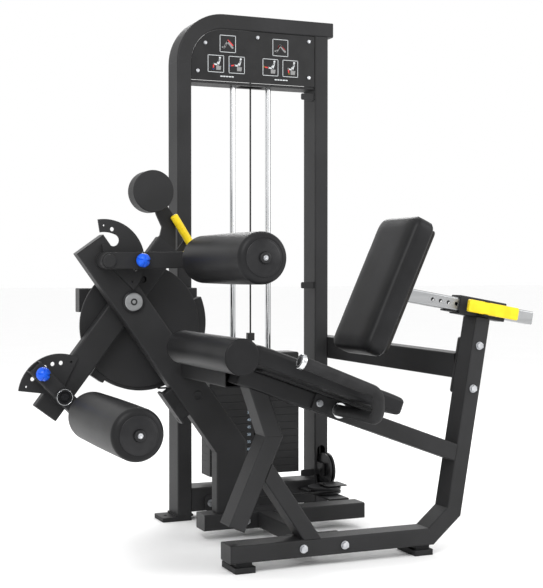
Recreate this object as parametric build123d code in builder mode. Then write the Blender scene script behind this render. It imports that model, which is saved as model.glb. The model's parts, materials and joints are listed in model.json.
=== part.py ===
from build123d import *
import os
from math import atan2, cos, degrees, hypot, radians, sin, tan

# A selectorised leg extension and leg curl machine.  Millimetres, +Z up, standing on Z = 0.
# +X runs from the leg rollers to the backrest, +Y from the user's seat to the weight tower.

# ---- Where the frame stands ---------------------------------------------------------------
X0 = -261.3          # front rail's left end, seen from the origin
Y0 = -293.75         # front rail's near face, seen from the origin

# ---- Tubes ---------------------------------------------------------------------------------
TUBE_W = 50.0        # narrow side of a frame tube
TUBE_D = 76.0        # wide side of a frame tube
WALL = 3.0
CORNER = 5.0
PLUG = 3.0           # plate of a plastic end plug
PLUG_GAP = 0.02      # between a plug and its tube's end
WELD_PLATE = 10.0

# ---- Base ----------------------------------------------------------------------------------
FOOT_H = 30.0        # floor to the underside of the base rails
RAIL_END = 632.0     # where the front rail's axis meets the corner tube
CORNER_END = (710.0, 122.0)
POST_LEAN = 9.8      # rear post and slide tube, degrees
POST_TOP_Z = 694.8
MID_Y = 437.0        # near face of the middle rail
MID_START, MID_END = 83.0, 638.0
CROSS_X = 284.0      # centre line of the lower cross tubes
FLANGE_L = 170.0
BOLT_GAP = 129.0     # between the two bolts of a flange
BOLT_R = 6.0

# ---- Tower ---------------------------------------------------------------------------------
TOWER_Y = 760.0      # near face of the tower
TOWER_D = 98.0       # depth of the tower tubes
TOWER_W = 50.0
TOWER_H = 1700.0
TOWER_LEFT, TOWER_RIGHT = 106.0, 610.0   # left faces of the two columns
BEND_R = 168.0       # outer radius of the top left bend
BEAM_END = 679.0
FOOT_PLATE = 20.0
BEAM_LOW, BEAM_HIGH = 28.0, 108.0
ROD_PLATE = 8.0       # plate that holds the guide rods' top ends, just under the placard
PLACARD_LOW = 1475.0
PLACARD_T = 3.0

# ---- Weight stack --------------------------------------------------------------------------
STACK_X = 386.6
STACK_Y = TOWER_Y + TOWER_D / 2
PLATE_L, PLATE_D, PLATE_PITCH, PLATE_GAP = 329.0, 92.0, 25.0, 0.6
PLATES, PLATES_LIFTED = 15, 5
HEAD_H = 40.0
STACK_LOW = 140.0
ROD_R, ROD_GAP = 10.0, 131.0
SELECTOR_R = 11.0
HOLE_PLAY = 0.6      # radial play of the plates on their rods

# ---- Cable and pulleys ---------------------------------------------------------------------
CABLE_R = 3.0
PULLEY_R = 51.0      # radius of the cable's centre line on a pulley
PULLEY_W = 20.0
PULLEY_LIP = 5.0     # flange beyond the cable's centre line
AXLE_R = 6.0
BEARING_R = 16.0
RUN_PLAY = 0.05      # radial running clearance of pins and bearings
CABLE_PLAY = 0.5     # between the cable and a groove's floor

# ---- Mast and pivots -----------------------------------------------------------------------
MAST_Y, MAST_D, MAST_W = 450.0, 50.0, 100.0
MAST_KINK = (129.0, 268.0)
MAST_LEAN = 54.45    # slope of the upper part, degrees
PIVOT = (-141.0, 742.0)
PIVOT_R = 17.0
MAST_REACH = 214.0   # from the main pivot to the top end, along the slope
LEVER_Y, LEVER_D, LEVER_W = 508.0, 40.0, 80.0
LEVER_ANGLE = 232.7
LEVER_DOWN, LEVER_UP = 419.0, 220.0
CAM_Y = 552.0
CAM_C, CAM_R, CAM_T = (-86.0, 667.0), 192.5, 8.0
RIM_C, RIM_R = (-79.0, 673.0), 207.0     # RIM_R is the cable's centre line
CABLE_Y = 576.0
CLAMP_ANGLE, RIM_END = 235.6, 382.5
GUIDE_X, GUIDE_Z = 119.0, RIM_C[1] - RIM_R - PULLEY_R
SUPPORT_Z, SUPPORT_H = 742.0, 76.0

# ---- Rollers and their arms ----------------------------------------------------------------
ROLLER_R = 70.0
ROLLER_NEAR, ROLLER_FAR = -168.0, 300.0
CORE_R, ROLLER_AXLE_R = 20.0, 12.0
LOW_PIVOT = (-353.0, 463.0)
LOW_ROLLER = (-311.0, 422.0)
LOW_PIN_REACH, LOW_TUBE = 97.0, 45.0
LOW_Y, LOW_D = 448.0, 50.0
UP_PIVOT = (-231.0, 865.0)
UP_ROLLER = (29.0, 869.0)
UP_PIN_REACH, UP_ARM_W = 98.0, 50.0
UP_Y, UP_D = 388.0, 51.0
SECTOR_R, SECTOR_T = 125.0, 8.0
ARM_GAP = 2.0        # between an arm and its sector plate
STOP_STEP = 15.0     # between the holes of a sector plate, degrees
HUB_R = 26.0         # boss of a sector plate
NOTCH_R, NOTCH_W = 68.0, 36.0            # open notch in the upper plate: middle radius, width
NOTCH_START, NOTCH_PAST = 66.0, 12.0     # its closed end, and how far it runs off the plate, degrees
PIN_R, PIN_HOLE_R = 5.0, 6.5

# ---- Seat ----------------------------------------------------------------------------------
SEAT_SLOPE = 20.1
SEAT_TUBE_LOW = (57.0, 512.0)            # a point of the seat tube's lower edge
SEAT_TUBE_START = 22.0
SEAT_ROLL = (-37.0, 612.0)
SEAT_ROLL_R = 48.5
SEAT_NEAR, SEAT_FAR = -184.0, 295.0
PAD_T = 51.0
PAD_END = 451.0
BOARD_T = 7.0

# ---- Backrest ------------------------------------------------------------------------------
BACK_TILT = 24.5
BACK_FOOT = (369.0, 615.0)               # lower front edge of the cushion
BACK_L, BACK_W, BACK_T = 424.0, 240.0, 68.0
BACK_BOARD = 12.0
SEAT_MID = 38.0                          # centre plane of the user and the seat frame
SLIDE_W, SLIDE_PLAY = 40.0, 1.0
SLEEVE_W, SLEEVE_L = 56.0, 160.0
SLIDE_END = 185.0                        # from the sleeve's centre to the slide tube's rear end
HOLE_PITCH = 27.5

# ---- Handles -------------------------------------------------------------------------------
HANDLE_R, HANDLE_GAP = 16.5, 49.5       # the gap is between a grip and the seat's edge
HANDLE_X = 323.0
HANDLE_Z = (SEAT_TUBE_LOW[1] - (HANDLE_X - SEAT_TUBE_LOW[0]) * tan(radians(SEAT_SLOPE))
            + TUBE_W / 2 / cos(radians(SEAT_SLOPE)))
HANDLE_GRIP = (106.0, 598.0)

os.makedirs("parts", exist_ok=True)


# ---- Helpers -------------------------------------------------------------------------------
def at(x, y, z):
    """A point given from the front rail's near left corner and the floor."""
    return Vector(X0 + x, Y0 + y, z)


def polar(centre, radius, angle):
    """A point of the side view, from a centre, a radius and an angle above +X."""
    return (centre[0] + radius * cos(radians(angle)), centre[1] + radius * sin(radians(angle)))


def side(y):
    """The side view's plane at depth y: local x is X, local y is Z, and it faces the user."""
    return Plane(origin=at(0, y, 0), x_dir=(1, 0, 0), z_dir=(0, -1, 0))


def link(first, second, width):
    """A round-ended bar between two points of the current sketch."""
    run, rise = second[0] - first[0], second[1] - first[1]
    middle = ((first[0] + second[0]) / 2, (first[1] + second[1]) / 2, 0)
    with Locations(Location(middle, (0, 0, degrees(atan2(rise, run))))):
        SlotCenterToCenter(hypot(run, rise), width)


def save(piece, name):
    piece.part.label = name
    export_step(piece.part, f"parts/{name}.step")


def box_tube(start, end, wide, high, wide_dir=(0, 1, 0), cuts=()):
    """A hollow box section from start to end; each cut keeps what lies behind its plane."""
    with BuildPart() as tube:
        with BuildSketch(Plane(origin=start, x_dir=wide_dir, z_dir=end - start)):
            RectangleRounded(wide, high, CORNER)
            RectangleRounded(wide - 2 * WALL, high - 2 * WALL, CORNER - WALL / 2, mode=Mode.SUBTRACT)
        extrude(amount=(end - start).length)
        for cut in cuts:
            split(bisect_by=cut, keep=Keep.BOTTOM)
    return tube


def round_bar(start, end, radius, bore=0.0):
    """A round bar or sleeve from start to end."""
    with BuildPart() as bar:
        with BuildSketch(Plane(origin=start, z_dir=end - start)):
            Circle(radius)
            if bore:
                Circle(bore, mode=Mode.SUBTRACT)
        extrude(amount=(end - start).length)
    return bar


def cross_bar(point, near, far, radius, bore=0.0):
    """A round bar along Y through a point of the side view."""
    return round_bar(at(point[0], near, point[1]), at(point[0], far, point[1]), radius, bore)


def group(name, *pieces):
    """Several solids of one node, kept as separate solids."""
    solids = Compound([solid for piece in pieces for solid in piece.part.solids()])
    solids.label = name
    export_step(solids, f"parts/{name}.step")


def drilled(piece, points, radius, near, far):
    """The piece with holes along Y through points of the side view."""
    with BuildPart() as result:
        add(piece.part)
        for point in points:
            add(cross_bar(point, near, far, radius).part, mode=Mode.SUBTRACT)
    return result


def end_plug(end, outward, wide, high, wide_dir=(0, 1, 0)):
    """A plastic plug: a plate on the tube's end and a stub in its bore."""
    with BuildPart() as plug:
        end = end + outward.normalized() * PLUG_GAP
        with BuildSketch(Plane(origin=end, x_dir=wide_dir, z_dir=outward)):
            RectangleRounded(wide, high, CORNER)
        extrude(amount=PLUG)
        with BuildSketch(Plane(origin=end, x_dir=wide_dir, z_dir=-outward)):
            RectangleRounded(wide - 2 * WALL - 1, high - 2 * WALL - 1, 2)
        extrude(amount=12)
    return plug


def hex_bolt(head, inward, shank, radius=BOLT_R):
    """A hexagon bolt with a washer; head is the centre of the face that the washer lies on."""
    with BuildPart() as bolt:
        with BuildSketch(Plane(origin=head, z_dir=-inward)):
            Circle(radius * 2)
        extrude(amount=2)
        with BuildSketch(Plane(origin=head - inward.normalized() * 2, z_dir=-inward)):
            RegularPolygon(radius * 1.75, 6)
        extrude(amount=radius * 1.1)
        with BuildSketch(Plane(origin=head, z_dir=inward)):
            Circle(radius - 0.2)
        extrude(amount=shank)
    return bolt


TOWARD_TOWER = Vector(0, 1, 0)
UP = Vector(0, 0, 1)
RAIL_Z = FOOT_H + TUBE_W / 2
LEAN = Vector(sin(radians(POST_LEAN)), 0, cos(radians(POST_LEAN)))
SLIDE_DIR = Vector(cos(radians(POST_LEAN)), 0, -sin(radians(POST_LEAN)))

# ---- Front frame: rail, corner and leaning post, welded at mitres --------------------------
rail_start = at(PLUG, SEAT_MID, RAIL_Z)
rail_turn = at(RAIL_END, SEAT_MID, RAIL_Z)
post_turn = at(CORNER_END[0], SEAT_MID, CORNER_END[1])
post_top = post_turn + LEAN * ((POST_TOP_Z - CORNER_END[1]) / LEAN.Z)


def mitre(before, corner, after):
    """The plane that halves the angle at a corner, facing along the path."""
    return Plane(origin=corner, z_dir=(corner - before).normalized() + (after - corner).normalized())


def reverse(plane):
    return Plane(origin=plane.origin, x_dir=plane.x_dir, z_dir=-plane.z_dir)


rail_mitre = mitre(rail_start, rail_turn, post_turn)
post_mitre = mitre(rail_turn, post_turn, post_top)
corner_dir = (post_turn - rail_turn).normalized()
OVERRUN = 40.0
HOLE_R = BOLT_R + 0.5
cross_holes = [(CROSS_X + way * BOLT_GAP / 2, RAIL_Z) for way in (-1, 1)]
POST_FLANGE = 433.0  # along the post, from its lower mitre to the middle of its flange
post_holes = [(point.X - X0, point.Z) for point in
              (post_turn + LEAN * (POST_FLANGE + way * BOLT_GAP / 2) for way in (-1, 1))]
front_rail = box_tube(rail_start, rail_turn + Vector(OVERRUN, 0, 0), TUBE_D, TUBE_W, cuts=[rail_mitre])
corner_tube = box_tube(rail_turn - corner_dir * OVERRUN, post_turn + corner_dir * OVERRUN,
                       TUBE_D, TUBE_W, cuts=[reverse(rail_mitre), post_mitre])
rear_post = box_tube(post_turn - LEAN * OVERRUN, post_top, TUBE_D, TUBE_W, cuts=[reverse(post_mitre)])
group("front_frame", drilled(front_rail, cross_holes, HOLE_R, -5, TUBE_D + 5), corner_tube,
      drilled(rear_post, post_holes, HOLE_R, -5, TUBE_D + 5))

# ---- Base rails and cross tubes ------------------------------------------------------------
mid_y = MID_Y + TUBE_D / 2
mid_rail = box_tube(at(MID_START + PLUG, mid_y, RAIL_Z), at(MID_END - PLUG, mid_y, RAIL_Z), TUBE_D, TUBE_W)
front_cross = (SEAT_MID + TUBE_D / 2 + WELD_PLATE, MID_Y - WELD_PLATE)
rear_cross = (MID_Y + TUBE_D + WELD_PLATE, TOWER_Y - WELD_PLATE)
cross_tubes = [box_tube(at(CROSS_X, near, RAIL_Z), at(CROSS_X, far, RAIL_Z), TUBE_W, TUBE_W, (1, 0, 0))
               for near, far in (front_cross, rear_cross)]
group("base_rails", drilled(mid_rail, cross_holes, HOLE_R, MID_Y - 5, MID_Y + TUBE_D + 5), *cross_tubes)


def flange(centre, long_dir, normal, width=TUBE_W):
    """A flange plate with two bolt holes, its back on centre."""
    with BuildPart() as plate:
        with BuildSketch(Plane(origin=centre, x_dir=long_dir, z_dir=normal)):
            RectangleRounded(FLANGE_L, width, 8)
            with Locations((-BOLT_GAP / 2, 0), (BOLT_GAP / 2, 0)):
                Circle(BOLT_R + 0.5, mode=Mode.SUBTRACT)
        extrude(amount=WELD_PLATE)
    return plate


post_flange_at = post_turn + LEAN * POST_FLANGE + TOWARD_TOWER * (TUBE_D / 2)
frame_plates = [flange(at(CROSS_X, back, RAIL_Z), (1, 0, 0), (0, 1, 0))
                for back in (front_cross[0] - WELD_PLATE, front_cross[1], rear_cross[0] - WELD_PLATE, rear_cross[1])]
frame_plates.append(flange(post_flange_at, LEAN, (0, 1, 0)))

# The upper cross tube runs from the post's flange to the far side of the tower's right column.
column_face = TOWER_RIGHT + TOWER_W
upper_near = post_flange_at + TOWARD_TOWER * WELD_PLATE
upper_far = at(column_face + TUBE_W / 2, TOWER_Y, 568.0)
upper_dir = (upper_far - upper_near).normalized()
with BuildPart() as upper_cross_tube:
    add(box_tube(upper_near - upper_dir * OVERRUN, upper_far + upper_dir * (TOWER_D + OVERRUN),
                 TUBE_W, TUBE_D, (1, 0, 0)).part)
    split(bisect_by=Plane(origin=upper_near, z_dir=(0, 1, 0)), keep=Keep.TOP)
    split(bisect_by=Plane(origin=at(0, TOWER_Y + TOWER_D, 0), z_dir=(0, 1, 0)), keep=Keep.BOTTOM)
    split(bisect_by=Plane(origin=at(column_face, 0, 0), z_dir=(1, 0, 0)), keep=Keep.TOP)

# ---- Seat tube and its struts --------------------------------------------------------------
seat_dir = Vector(cos(radians(SEAT_SLOPE)), 0, -sin(radians(SEAT_SLOPE)))
seat_up = Vector(sin(radians(SEAT_SLOPE)), 0, cos(radians(SEAT_SLOPE)))
seat_mid = at(SEAT_TUBE_LOW[0], SEAT_MID, SEAT_TUBE_LOW[1]) + seat_up * (TUBE_W / 2)
seat_start = seat_mid + seat_dir * ((SEAT_TUBE_START - SEAT_TUBE_LOW[0]) / seat_dir.X)
post_face = Plane(origin=post_turn - SLIDE_DIR * (TUBE_W / 2), z_dir=SLIDE_DIR)
seat_tube = box_tube(seat_start, seat_mid + seat_dir * 800, TUBE_D, TUBE_W, cuts=[post_face])
save(seat_tube, "seat_tube")

KINK = at(130.5, SEAT_MID, 375.0)
strut_foot = at(20.5, SEAT_MID, 127.0)
strut_head = at(84.0, SEAT_MID, 508.0)
seat_under = Plane(origin=seat_mid - seat_up * (TUBE_W / 2), z_dir=seat_up)
kink_mitre = mitre(strut_foot, KINK, strut_head)
strut_lower = box_tube(strut_foot, KINK + (KINK - strut_foot).normalized() * OVERRUN,
                       TUBE_D, TUBE_W, cuts=[kink_mitre])
kink_up = (strut_head - KINK).normalized()
strut_upper = box_tube(KINK - kink_up * OVERRUN, strut_head + kink_up * OVERRUN, TUBE_D, TUBE_W,
                       cuts=[reverse(kink_mitre), seat_under])

brace_foot = at(248.0, SEAT_MID, FOOT_H + TUBE_W)
brace_head = at(112.0, SEAT_MID, 279.0)
brace_dir = (brace_head - brace_foot).normalized()
strut_dir = (KINK - strut_foot).normalized()
strut_normal = Vector(strut_dir.Z, 0, -strut_dir.X)
strut_side = Plane(origin=strut_foot + strut_normal * (TUBE_W / 2), z_dir=-strut_normal)
rail_top = Plane(origin=brace_foot, z_dir=(0, 0, -1))
BRACE_W = 46.0
diagonal_strut = box_tube(brace_foot - brace_dir * OVERRUN, brace_head + brace_dir * OVERRUN,
                          TUBE_D, BRACE_W, cuts=[rail_top, strut_side])
group("seat_struts", strut_lower, strut_upper, diagonal_strut)

seat_far = SEAT_MID + TUBE_D / 2
LINK_X, LINK_Z = 36.0, 532.0
seat_link = box_tube(at(LINK_X, seat_far, LINK_Z), at(LINK_X, MAST_Y, LINK_Z), TUBE_W - 4, TUBE_W - 4, (1, 0, 0))

# ---- Mast ----------------------------------------------------------------------------------
mast_up = Vector(-cos(radians(MAST_LEAN)), 0, sin(radians(MAST_LEAN)))
mast_y = MAST_Y + MAST_D / 2
kink_z = MAST_KINK[1] + MAST_W / 2 * tan(radians((90 - MAST_LEAN) / 2))
mast_kink = at(MAST_KINK[0] + MAST_W / 2, mast_y, kink_z)
mast_length = (at(PIVOT[0], mast_y, PIVOT[1]) - mast_kink).dot(mast_up) + MAST_REACH
mast_top = mast_kink + mast_up * mast_length
mast_bottom = at(MAST_KINK[0] + MAST_W / 2, mast_y, FOOT_H + TUBE_W)
mast_mitre = Plane(origin=mast_kink, z_dir=(UP + mast_up))
MAST_OVERRUN = 80.0
mast_foot = box_tube(mast_bottom, mast_kink + UP * MAST_OVERRUN, MAST_D, MAST_W, cuts=[mast_mitre])
with BuildPart() as mast_beam:
    add(box_tube(mast_kink - mast_up * MAST_OVERRUN, mast_top, MAST_D, MAST_W, cuts=[reverse(mast_mitre)]).part)
    with BuildSketch(side(MAST_Y - 10)):
        with Locations(PIVOT):
            Circle(PIVOT_R)
        with Locations(UP_PIVOT):
            Circle(ROLLER_AXLE_R)
        with Locations((GUIDE_X, GUIDE_Z)):
            Circle(AXLE_R)
    extrude(amount=-MAST_D - 20, mode=Mode.SUBTRACT)
group("mast", mast_foot, mast_beam)

# ---- Main axle and its rear support --------------------------------------------------------
SUPPORT_D = 50.0
support_y = TOWER_Y - SUPPORT_D / 2
with BuildPart() as axle_support:
    add(box_tube(at(-240 + PLUG, support_y, SUPPORT_Z), at(TOWER_LEFT + TOWER_W, support_y, SUPPORT_Z),
                 SUPPORT_D, SUPPORT_H).part)
    with BuildSketch(side(TOWER_Y - SUPPORT_D - 10)):
        with Locations(PIVOT):
            Circle(PIVOT_R)
    extrude(amount=-SUPPORT_D, mode=Mode.SUBTRACT)
group("cross_links", upper_cross_tube, seat_link, axle_support)
axle_near, axle_far = MAST_Y - 4, TOWER_Y - WALL - 1
main_axle = cross_bar(PIVOT, axle_near, axle_far, PIVOT_R)
with BuildPart() as axle_cap:
    with BuildSketch(side(MAST_Y)):
        with Locations(PIVOT):
            Circle(27.5)
            Circle(PIVOT_R, mode=Mode.SUBTRACT)
    extrude(amount=4)
    with BuildSketch(side(MAST_Y - 4)):
        with Locations(PIVOT):
            Circle(27.5)
    extrude(amount=8)
    chamfer(axle_cap.faces().sort_by(Axis.Y)[0].edges(), 2)

# ---- Feet ----------------------------------------------------------------------------------
def rail_foot(x, y):
    """A two-step foot pad under a rail."""
    with BuildPart() as foot:
        with BuildSketch(Plane(origin=at(x, y, 0))):
            RectangleRounded(62, 112, 6)
        extrude(amount=16)
        with BuildSketch(Plane(origin=at(x, y, 16))):
            RectangleRounded(48, 90, 4)
        extrude(amount=FOOT_H - 16)
    return foot


def tower_foot(left, outward):
    """A foot plate under a column, with an anchor hole in its outer end."""
    toe = 52.0
    centre = left + TOWER_W / 2 + outward * toe / 2
    with BuildPart() as foot:
        with BuildSketch(Plane(origin=at(centre, STACK_Y, 0))):
            RectangleRounded(TOWER_W + toe, TOWER_D, 6)
            with Locations((outward * (TOWER_W / 2 + 2), 0)):
                Circle(6.5, mode=Mode.SUBTRACT)
        extrude(amount=FOOT_PLATE - 6)
        with BuildSketch(Plane(origin=at(left + TOWER_W / 2, STACK_Y, FOOT_PLATE - 6))):
            RectangleRounded(TOWER_W + 12, TOWER_D, 6)
        extrude(amount=6)
    return foot


group("machine_feet", rail_foot(48, 62), rail_foot(612, 62), tower_foot(TOWER_LEFT, -1),
      tower_foot(TOWER_RIGHT, 1))

# ---- Tower ---------------------------------------------------------------------------------
bend_centre = (TOWER_LEFT + BEND_R, TOWER_H - BEND_R)
left_mid, right_mid = TOWER_LEFT + TOWER_W / 2, TOWER_RIGHT + TOWER_W / 2
beam_z = TOWER_H - TOWER_W / 2
left_column = box_tube(at(left_mid, STACK_Y, FOOT_PLATE), at(left_mid, STACK_Y, bend_centre[1]), TOWER_D, TOWER_W)
with BuildPart() as tower_bend:
    with BuildSketch(Plane(origin=at(left_mid, STACK_Y, bend_centre[1]), x_dir=(0, 1, 0), z_dir=(0, 0, 1))):
        RectangleRounded(TOWER_D, TOWER_W, CORNER)
        RectangleRounded(TOWER_D - 2 * WALL, TOWER_W - 2 * WALL, CORNER - WALL / 2, mode=Mode.SUBTRACT)
    revolve(axis=Axis(at(bend_centre[0], STACK_Y, bend_centre[1]), (0, 1, 0)), revolution_arc=90)
top_beam = box_tube(at(bend_centre[0], STACK_Y, beam_z), at(BEAM_END - PLUG, STACK_Y, beam_z), TOWER_D, TOWER_W)
group("tower_bent_tube", left_column, tower_bend, top_beam)

PULLEY_TOP_Z, PULLEY_LOW = 1565.0, (722.0, 148.0)    # axle height, and (y, z) of the column pulley
cable_out_x = right_mid - 1.0
SLOT_W = PULLEY_W + 10
with BuildPart() as right_column:
    add(box_tube(at(right_mid, STACK_Y, FOOT_PLATE), at(right_mid, STACK_Y, TOWER_H - TOWER_W),
                 TOWER_D, TOWER_W).part)
    with BuildSketch(Plane(origin=at(TOWER_RIGHT - 5, STACK_Y, PULLEY_TOP_Z + 10), x_dir=(0, 1, 0), z_dir=(1, 0, 0))):
        RectangleRounded(SLOT_W, 2 * PULLEY_R + 30, 10)
    extrude(amount=5 + TOWER_W / 2, mode=Mode.SUBTRACT)
    with BuildSketch(side(TOWER_Y - 5)):
        with Locations((cable_out_x, PULLEY_LOW[1] + 8)):
            SlotOverall(140, SLOT_W, rotation=90)
    extrude(amount=-5 - TOWER_D / 2, mode=Mode.SUBTRACT)
save(right_column, "tower_right_column")
beam_mid = (BEAM_LOW + BEAM_HIGH) / 2
bottom_beam = box_tube(at(TOWER_LEFT + TOWER_W, STACK_Y, beam_mid), at(TOWER_RIGHT, STACK_Y, beam_mid),
                       TOWER_D, BEAM_HIGH - BEAM_LOW)
save(drilled(bottom_beam, cross_holes, HOLE_R, TOWER_Y - 5, TOWER_Y + 20), "tower_bottom_beam")
ROD_WINDOW = 90.0    # cut-out in the rods' top plate, where the cable passes
with BuildPart() as rod_plate:
    with BuildSketch(Plane(origin=at((TOWER_LEFT + TOWER_W + TOWER_RIGHT) / 2, STACK_Y,
                                     PLACARD_LOW - 1 - ROD_PLATE))):
        Rectangle(TOWER_RIGHT - TOWER_LEFT - TOWER_W, TOWER_D - 16)
        with Locations((STACK_X - (TOWER_LEFT + TOWER_W + TOWER_RIGHT) / 2, 0)):
            RectangleRounded(ROD_WINDOW, 40, 8, mode=Mode.SUBTRACT)
    extrude(amount=ROD_PLATE)
frame_plates.append(rod_plate)

# ---- Placard -------------------------------------------------------------------------------
EDGE_PLAY = 1.0
inner_r = BEND_R - TOWER_W - EDGE_PLAY
PLACARD_SCREWS = [(bend_centre[0] - 68, bend_centre[1] + 68), (395, TOWER_H - TOWER_W - 20),
                  (179, PLACARD_LOW + 30), (587, PLACARD_LOW + 30), (587, TOWER_H - TOWER_W - 20)]
placard_left, placard_right = TOWER_LEFT + TOWER_W + EDGE_PLAY, TOWER_RIGHT - EDGE_PLAY
placard_top = TOWER_H - TOWER_W - EDGE_PLAY
PLACARD_Y = TOWER_Y + 4
with BuildPart() as placard:
    with BuildSketch(side(PLACARD_Y)):
        with BuildLine():
            Polyline((placard_left, bend_centre[1]), (placard_left, PLACARD_LOW), (placard_right, PLACARD_LOW),
                     (placard_right, placard_top), (bend_centre[0], placard_top))
            RadiusArc((bend_centre[0], placard_top), (placard_left, bend_centre[1]), -inner_r)
        make_face()
        with Locations(*PLACARD_SCREWS):
            Circle(3.2, mode=Mode.SUBTRACT)
    extrude(amount=-PLACARD_T)
save(placard, "placard")
tower_fixings = [hex_bolt(at(x, PLACARD_Y, z), TOWARD_TOWER, 8, 3.0) for x, z in PLACARD_SCREWS]
LUG = 20.0
for x, z in PLACARD_SCREWS:
    with BuildPart() as placard_lug:
        with BuildSketch(side(PLACARD_Y + PLACARD_T)):
            with Locations((x, z)):
                RectangleRounded(LUG, LUG, 2)
                Circle(3.0, mode=Mode.SUBTRACT)
        extrude(amount=-6)
    tower_fixings.append(placard_lug)

# ---- Guide rods, bumpers and weight stack --------------------------------------------------
rod_xs = (STACK_X - ROD_GAP / 2, STACK_X + ROD_GAP / 2)
group("guide_rods", *[round_bar(at(x, STACK_Y, BEAM_HIGH), at(x, STACK_Y, PLACARD_LOW - 1 - ROD_PLATE), ROD_R)
                      for x in rod_xs])
stack_bumpers = [round_bar(at(x, STACK_Y, BEAM_HIGH), at(x, STACK_Y, STACK_LOW - PLATE_GAP), 24, ROD_R + 0.2)
                 for x in rod_xs]


def weight_plate(low, height, slot=True):
    """A plate with two rod holes, a centre bore and a keyway for the selector pin."""
    with BuildPart() as weight:
        with BuildSketch(Plane(origin=at(STACK_X, STACK_Y, low))):
            RectangleRounded(PLATE_L, PLATE_D, 6)
            with GridLocations(ROD_GAP, 1, 2, 1):
                Circle(ROD_R + HOLE_PLAY, mode=Mode.SUBTRACT)
            Circle(SELECTOR_R + HOLE_PLAY, mode=Mode.SUBTRACT)
        extrude(amount=height)
        if slot:
            with BuildSketch(side(STACK_Y - PLATE_D / 2)):
                with Locations((STACK_X, low + height / 2)):
                    Circle(SELECT_HOLE_R)
            extrude(amount=-PLATE_D / 2, mode=Mode.SUBTRACT)
    return weight


SELECT_PIN_R = 5.0
SELECT_HOLE_R = SELECT_PIN_R + 0.5
plate_h = PLATE_PITCH - PLATE_GAP
plate_lows = [STACK_LOW + i * PLATE_PITCH for i in range(PLATES)]
resting = PLATES - PLATES_LIFTED
group("resting_plates", *[weight_plate(low, plate_h) for low in plate_lows[:resting]])
group("lifted_plates", *[weight_plate(low, plate_h) for low in plate_lows[resting:]])
head_low = STACK_LOW + PLATES * PLATE_PITCH
with BuildPart() as head_plate:
    with BuildSketch(Plane(origin=at(STACK_X, STACK_Y, head_low))):
        RectangleRounded(PLATE_L, PLATE_D, 8)
        with GridLocations(ROD_GAP, 1, 2, 1):
            Circle(ROD_R + HOLE_PLAY, mode=Mode.SUBTRACT)
        Circle(SELECTOR_R, mode=Mode.SUBTRACT)
    extrude(amount=HEAD_H)
    chamfer(head_plate.faces().sort_by(Axis.Z)[-1].outer_wire().edges(), 4)
with BuildPart() as selector_rod:
    add(round_bar(at(STACK_X, STACK_Y, STACK_LOW + 4), at(STACK_X, STACK_Y, head_low + HEAD_H + 6), SELECTOR_R).part)
    with BuildSketch(side(STACK_Y - SELECTOR_R - 1)):
        with Locations(*[(STACK_X, low + plate_h / 2) for low in plate_lows]):
            Circle(SELECT_HOLE_R)
    extrude(amount=-2 * SELECTOR_R - 2, mode=Mode.SUBTRACT)
pin_z = plate_lows[resting] + plate_h / 2
stack_near = STACK_Y - PLATE_D / 2
with BuildPart() as selector_pin:
    add(cross_bar((STACK_X, pin_z), stack_near - 1, STACK_Y + SELECTOR_R - 1, SELECT_PIN_R).part)
    add(cross_bar((STACK_X, pin_z), stack_near - 26, stack_near - 1, 14).part)
    fillet(selector_pin.faces().sort_by(Axis.Y)[0].edges(), 5)
save(selector_pin, "selector_pin")
link_low, link_high = head_low + HEAD_H + 6, 622.0
with BuildPart() as cable_link:
    add(round_bar(at(STACK_X, STACK_Y, link_low), at(STACK_X, STACK_Y, 598), 6).part)
    with BuildSketch(Plane(origin=at(STACK_X, STACK_Y, 596))):
        RectangleRounded(24, 24, 4)
    extrude(amount=link_high - 596)
group("head_plate", head_plate, selector_rod, cable_link)

# ---- Pulleys -------------------------------------------------------------------------------
cam_low_z = RIM_C[1] - RIM_R
TURN_Y = CABLE_Y + PULLEY_R
BASE_Z = PULLEY_LOW[1]
cable_low_z = BASE_Z - PULLEY_R
base_x = GUIDE_X + 2 * PULLEY_R
PULLEYS = {   # name: (centre, axle direction)
    "stack_pulley": (at(STACK_X + PULLEY_R, STACK_Y, PULLEY_TOP_Z), Vector(0, 1, 0)),
    "column_top_pulley": (at(cable_out_x - PULLEY_R, STACK_Y, PULLEY_TOP_Z), Vector(0, 1, 0)),
    "column_low_pulley": (at(cable_out_x, PULLEY_LOW[0], PULLEY_LOW[1]), Vector(1, 0, 0)),
    "turn_pulley": (at(cable_out_x - PULLEY_R, TURN_Y, cable_low_z), Vector(0, 0, 1)),
    "base_pulley": (at(base_x, CABLE_Y, BASE_Z), Vector(0, 1, 0)),
    "guide_pulley": (at(GUIDE_X, CABLE_Y, GUIDE_Z), Vector(0, 1, 0)),
}
groove_r = CABLE_R + CABLE_PLAY
for pulley_name, (centre, axle) in PULLEYS.items():
    start = centre - axle * (PULLEY_W / 2)
    with BuildPart() as pulley:
        with BuildSketch(Plane(origin=start, z_dir=axle)):
            Circle(PULLEY_R + PULLEY_LIP)
            Circle(BEARING_R + RUN_PLAY, mode=Mode.SUBTRACT)
        extrude(amount=PULLEY_W)
        outward = axle.cross(Vector(1, 1, 1)).normalized()
        with BuildSketch(Plane(origin=centre, x_dir=axle, z_dir=axle.cross(outward))):
            with Locations((0, PULLEY_R)):
                Circle(groove_r)
            with Locations((0, PULLEY_R + PULLEY_LIP)):
                Rectangle(2 * groove_r, 2 * PULLEY_LIP)
        revolve(axis=Axis(centre, axle), mode=Mode.SUBTRACT)
    save(pulley, pulley_name)

bearing_w = PULLEY_W - 4
bearings = [round_bar(centre - axle * (bearing_w / 2), centre + axle * (bearing_w / 2), BEARING_R, AXLE_R)
            for centre, axle in PULLEYS.values()]

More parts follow.
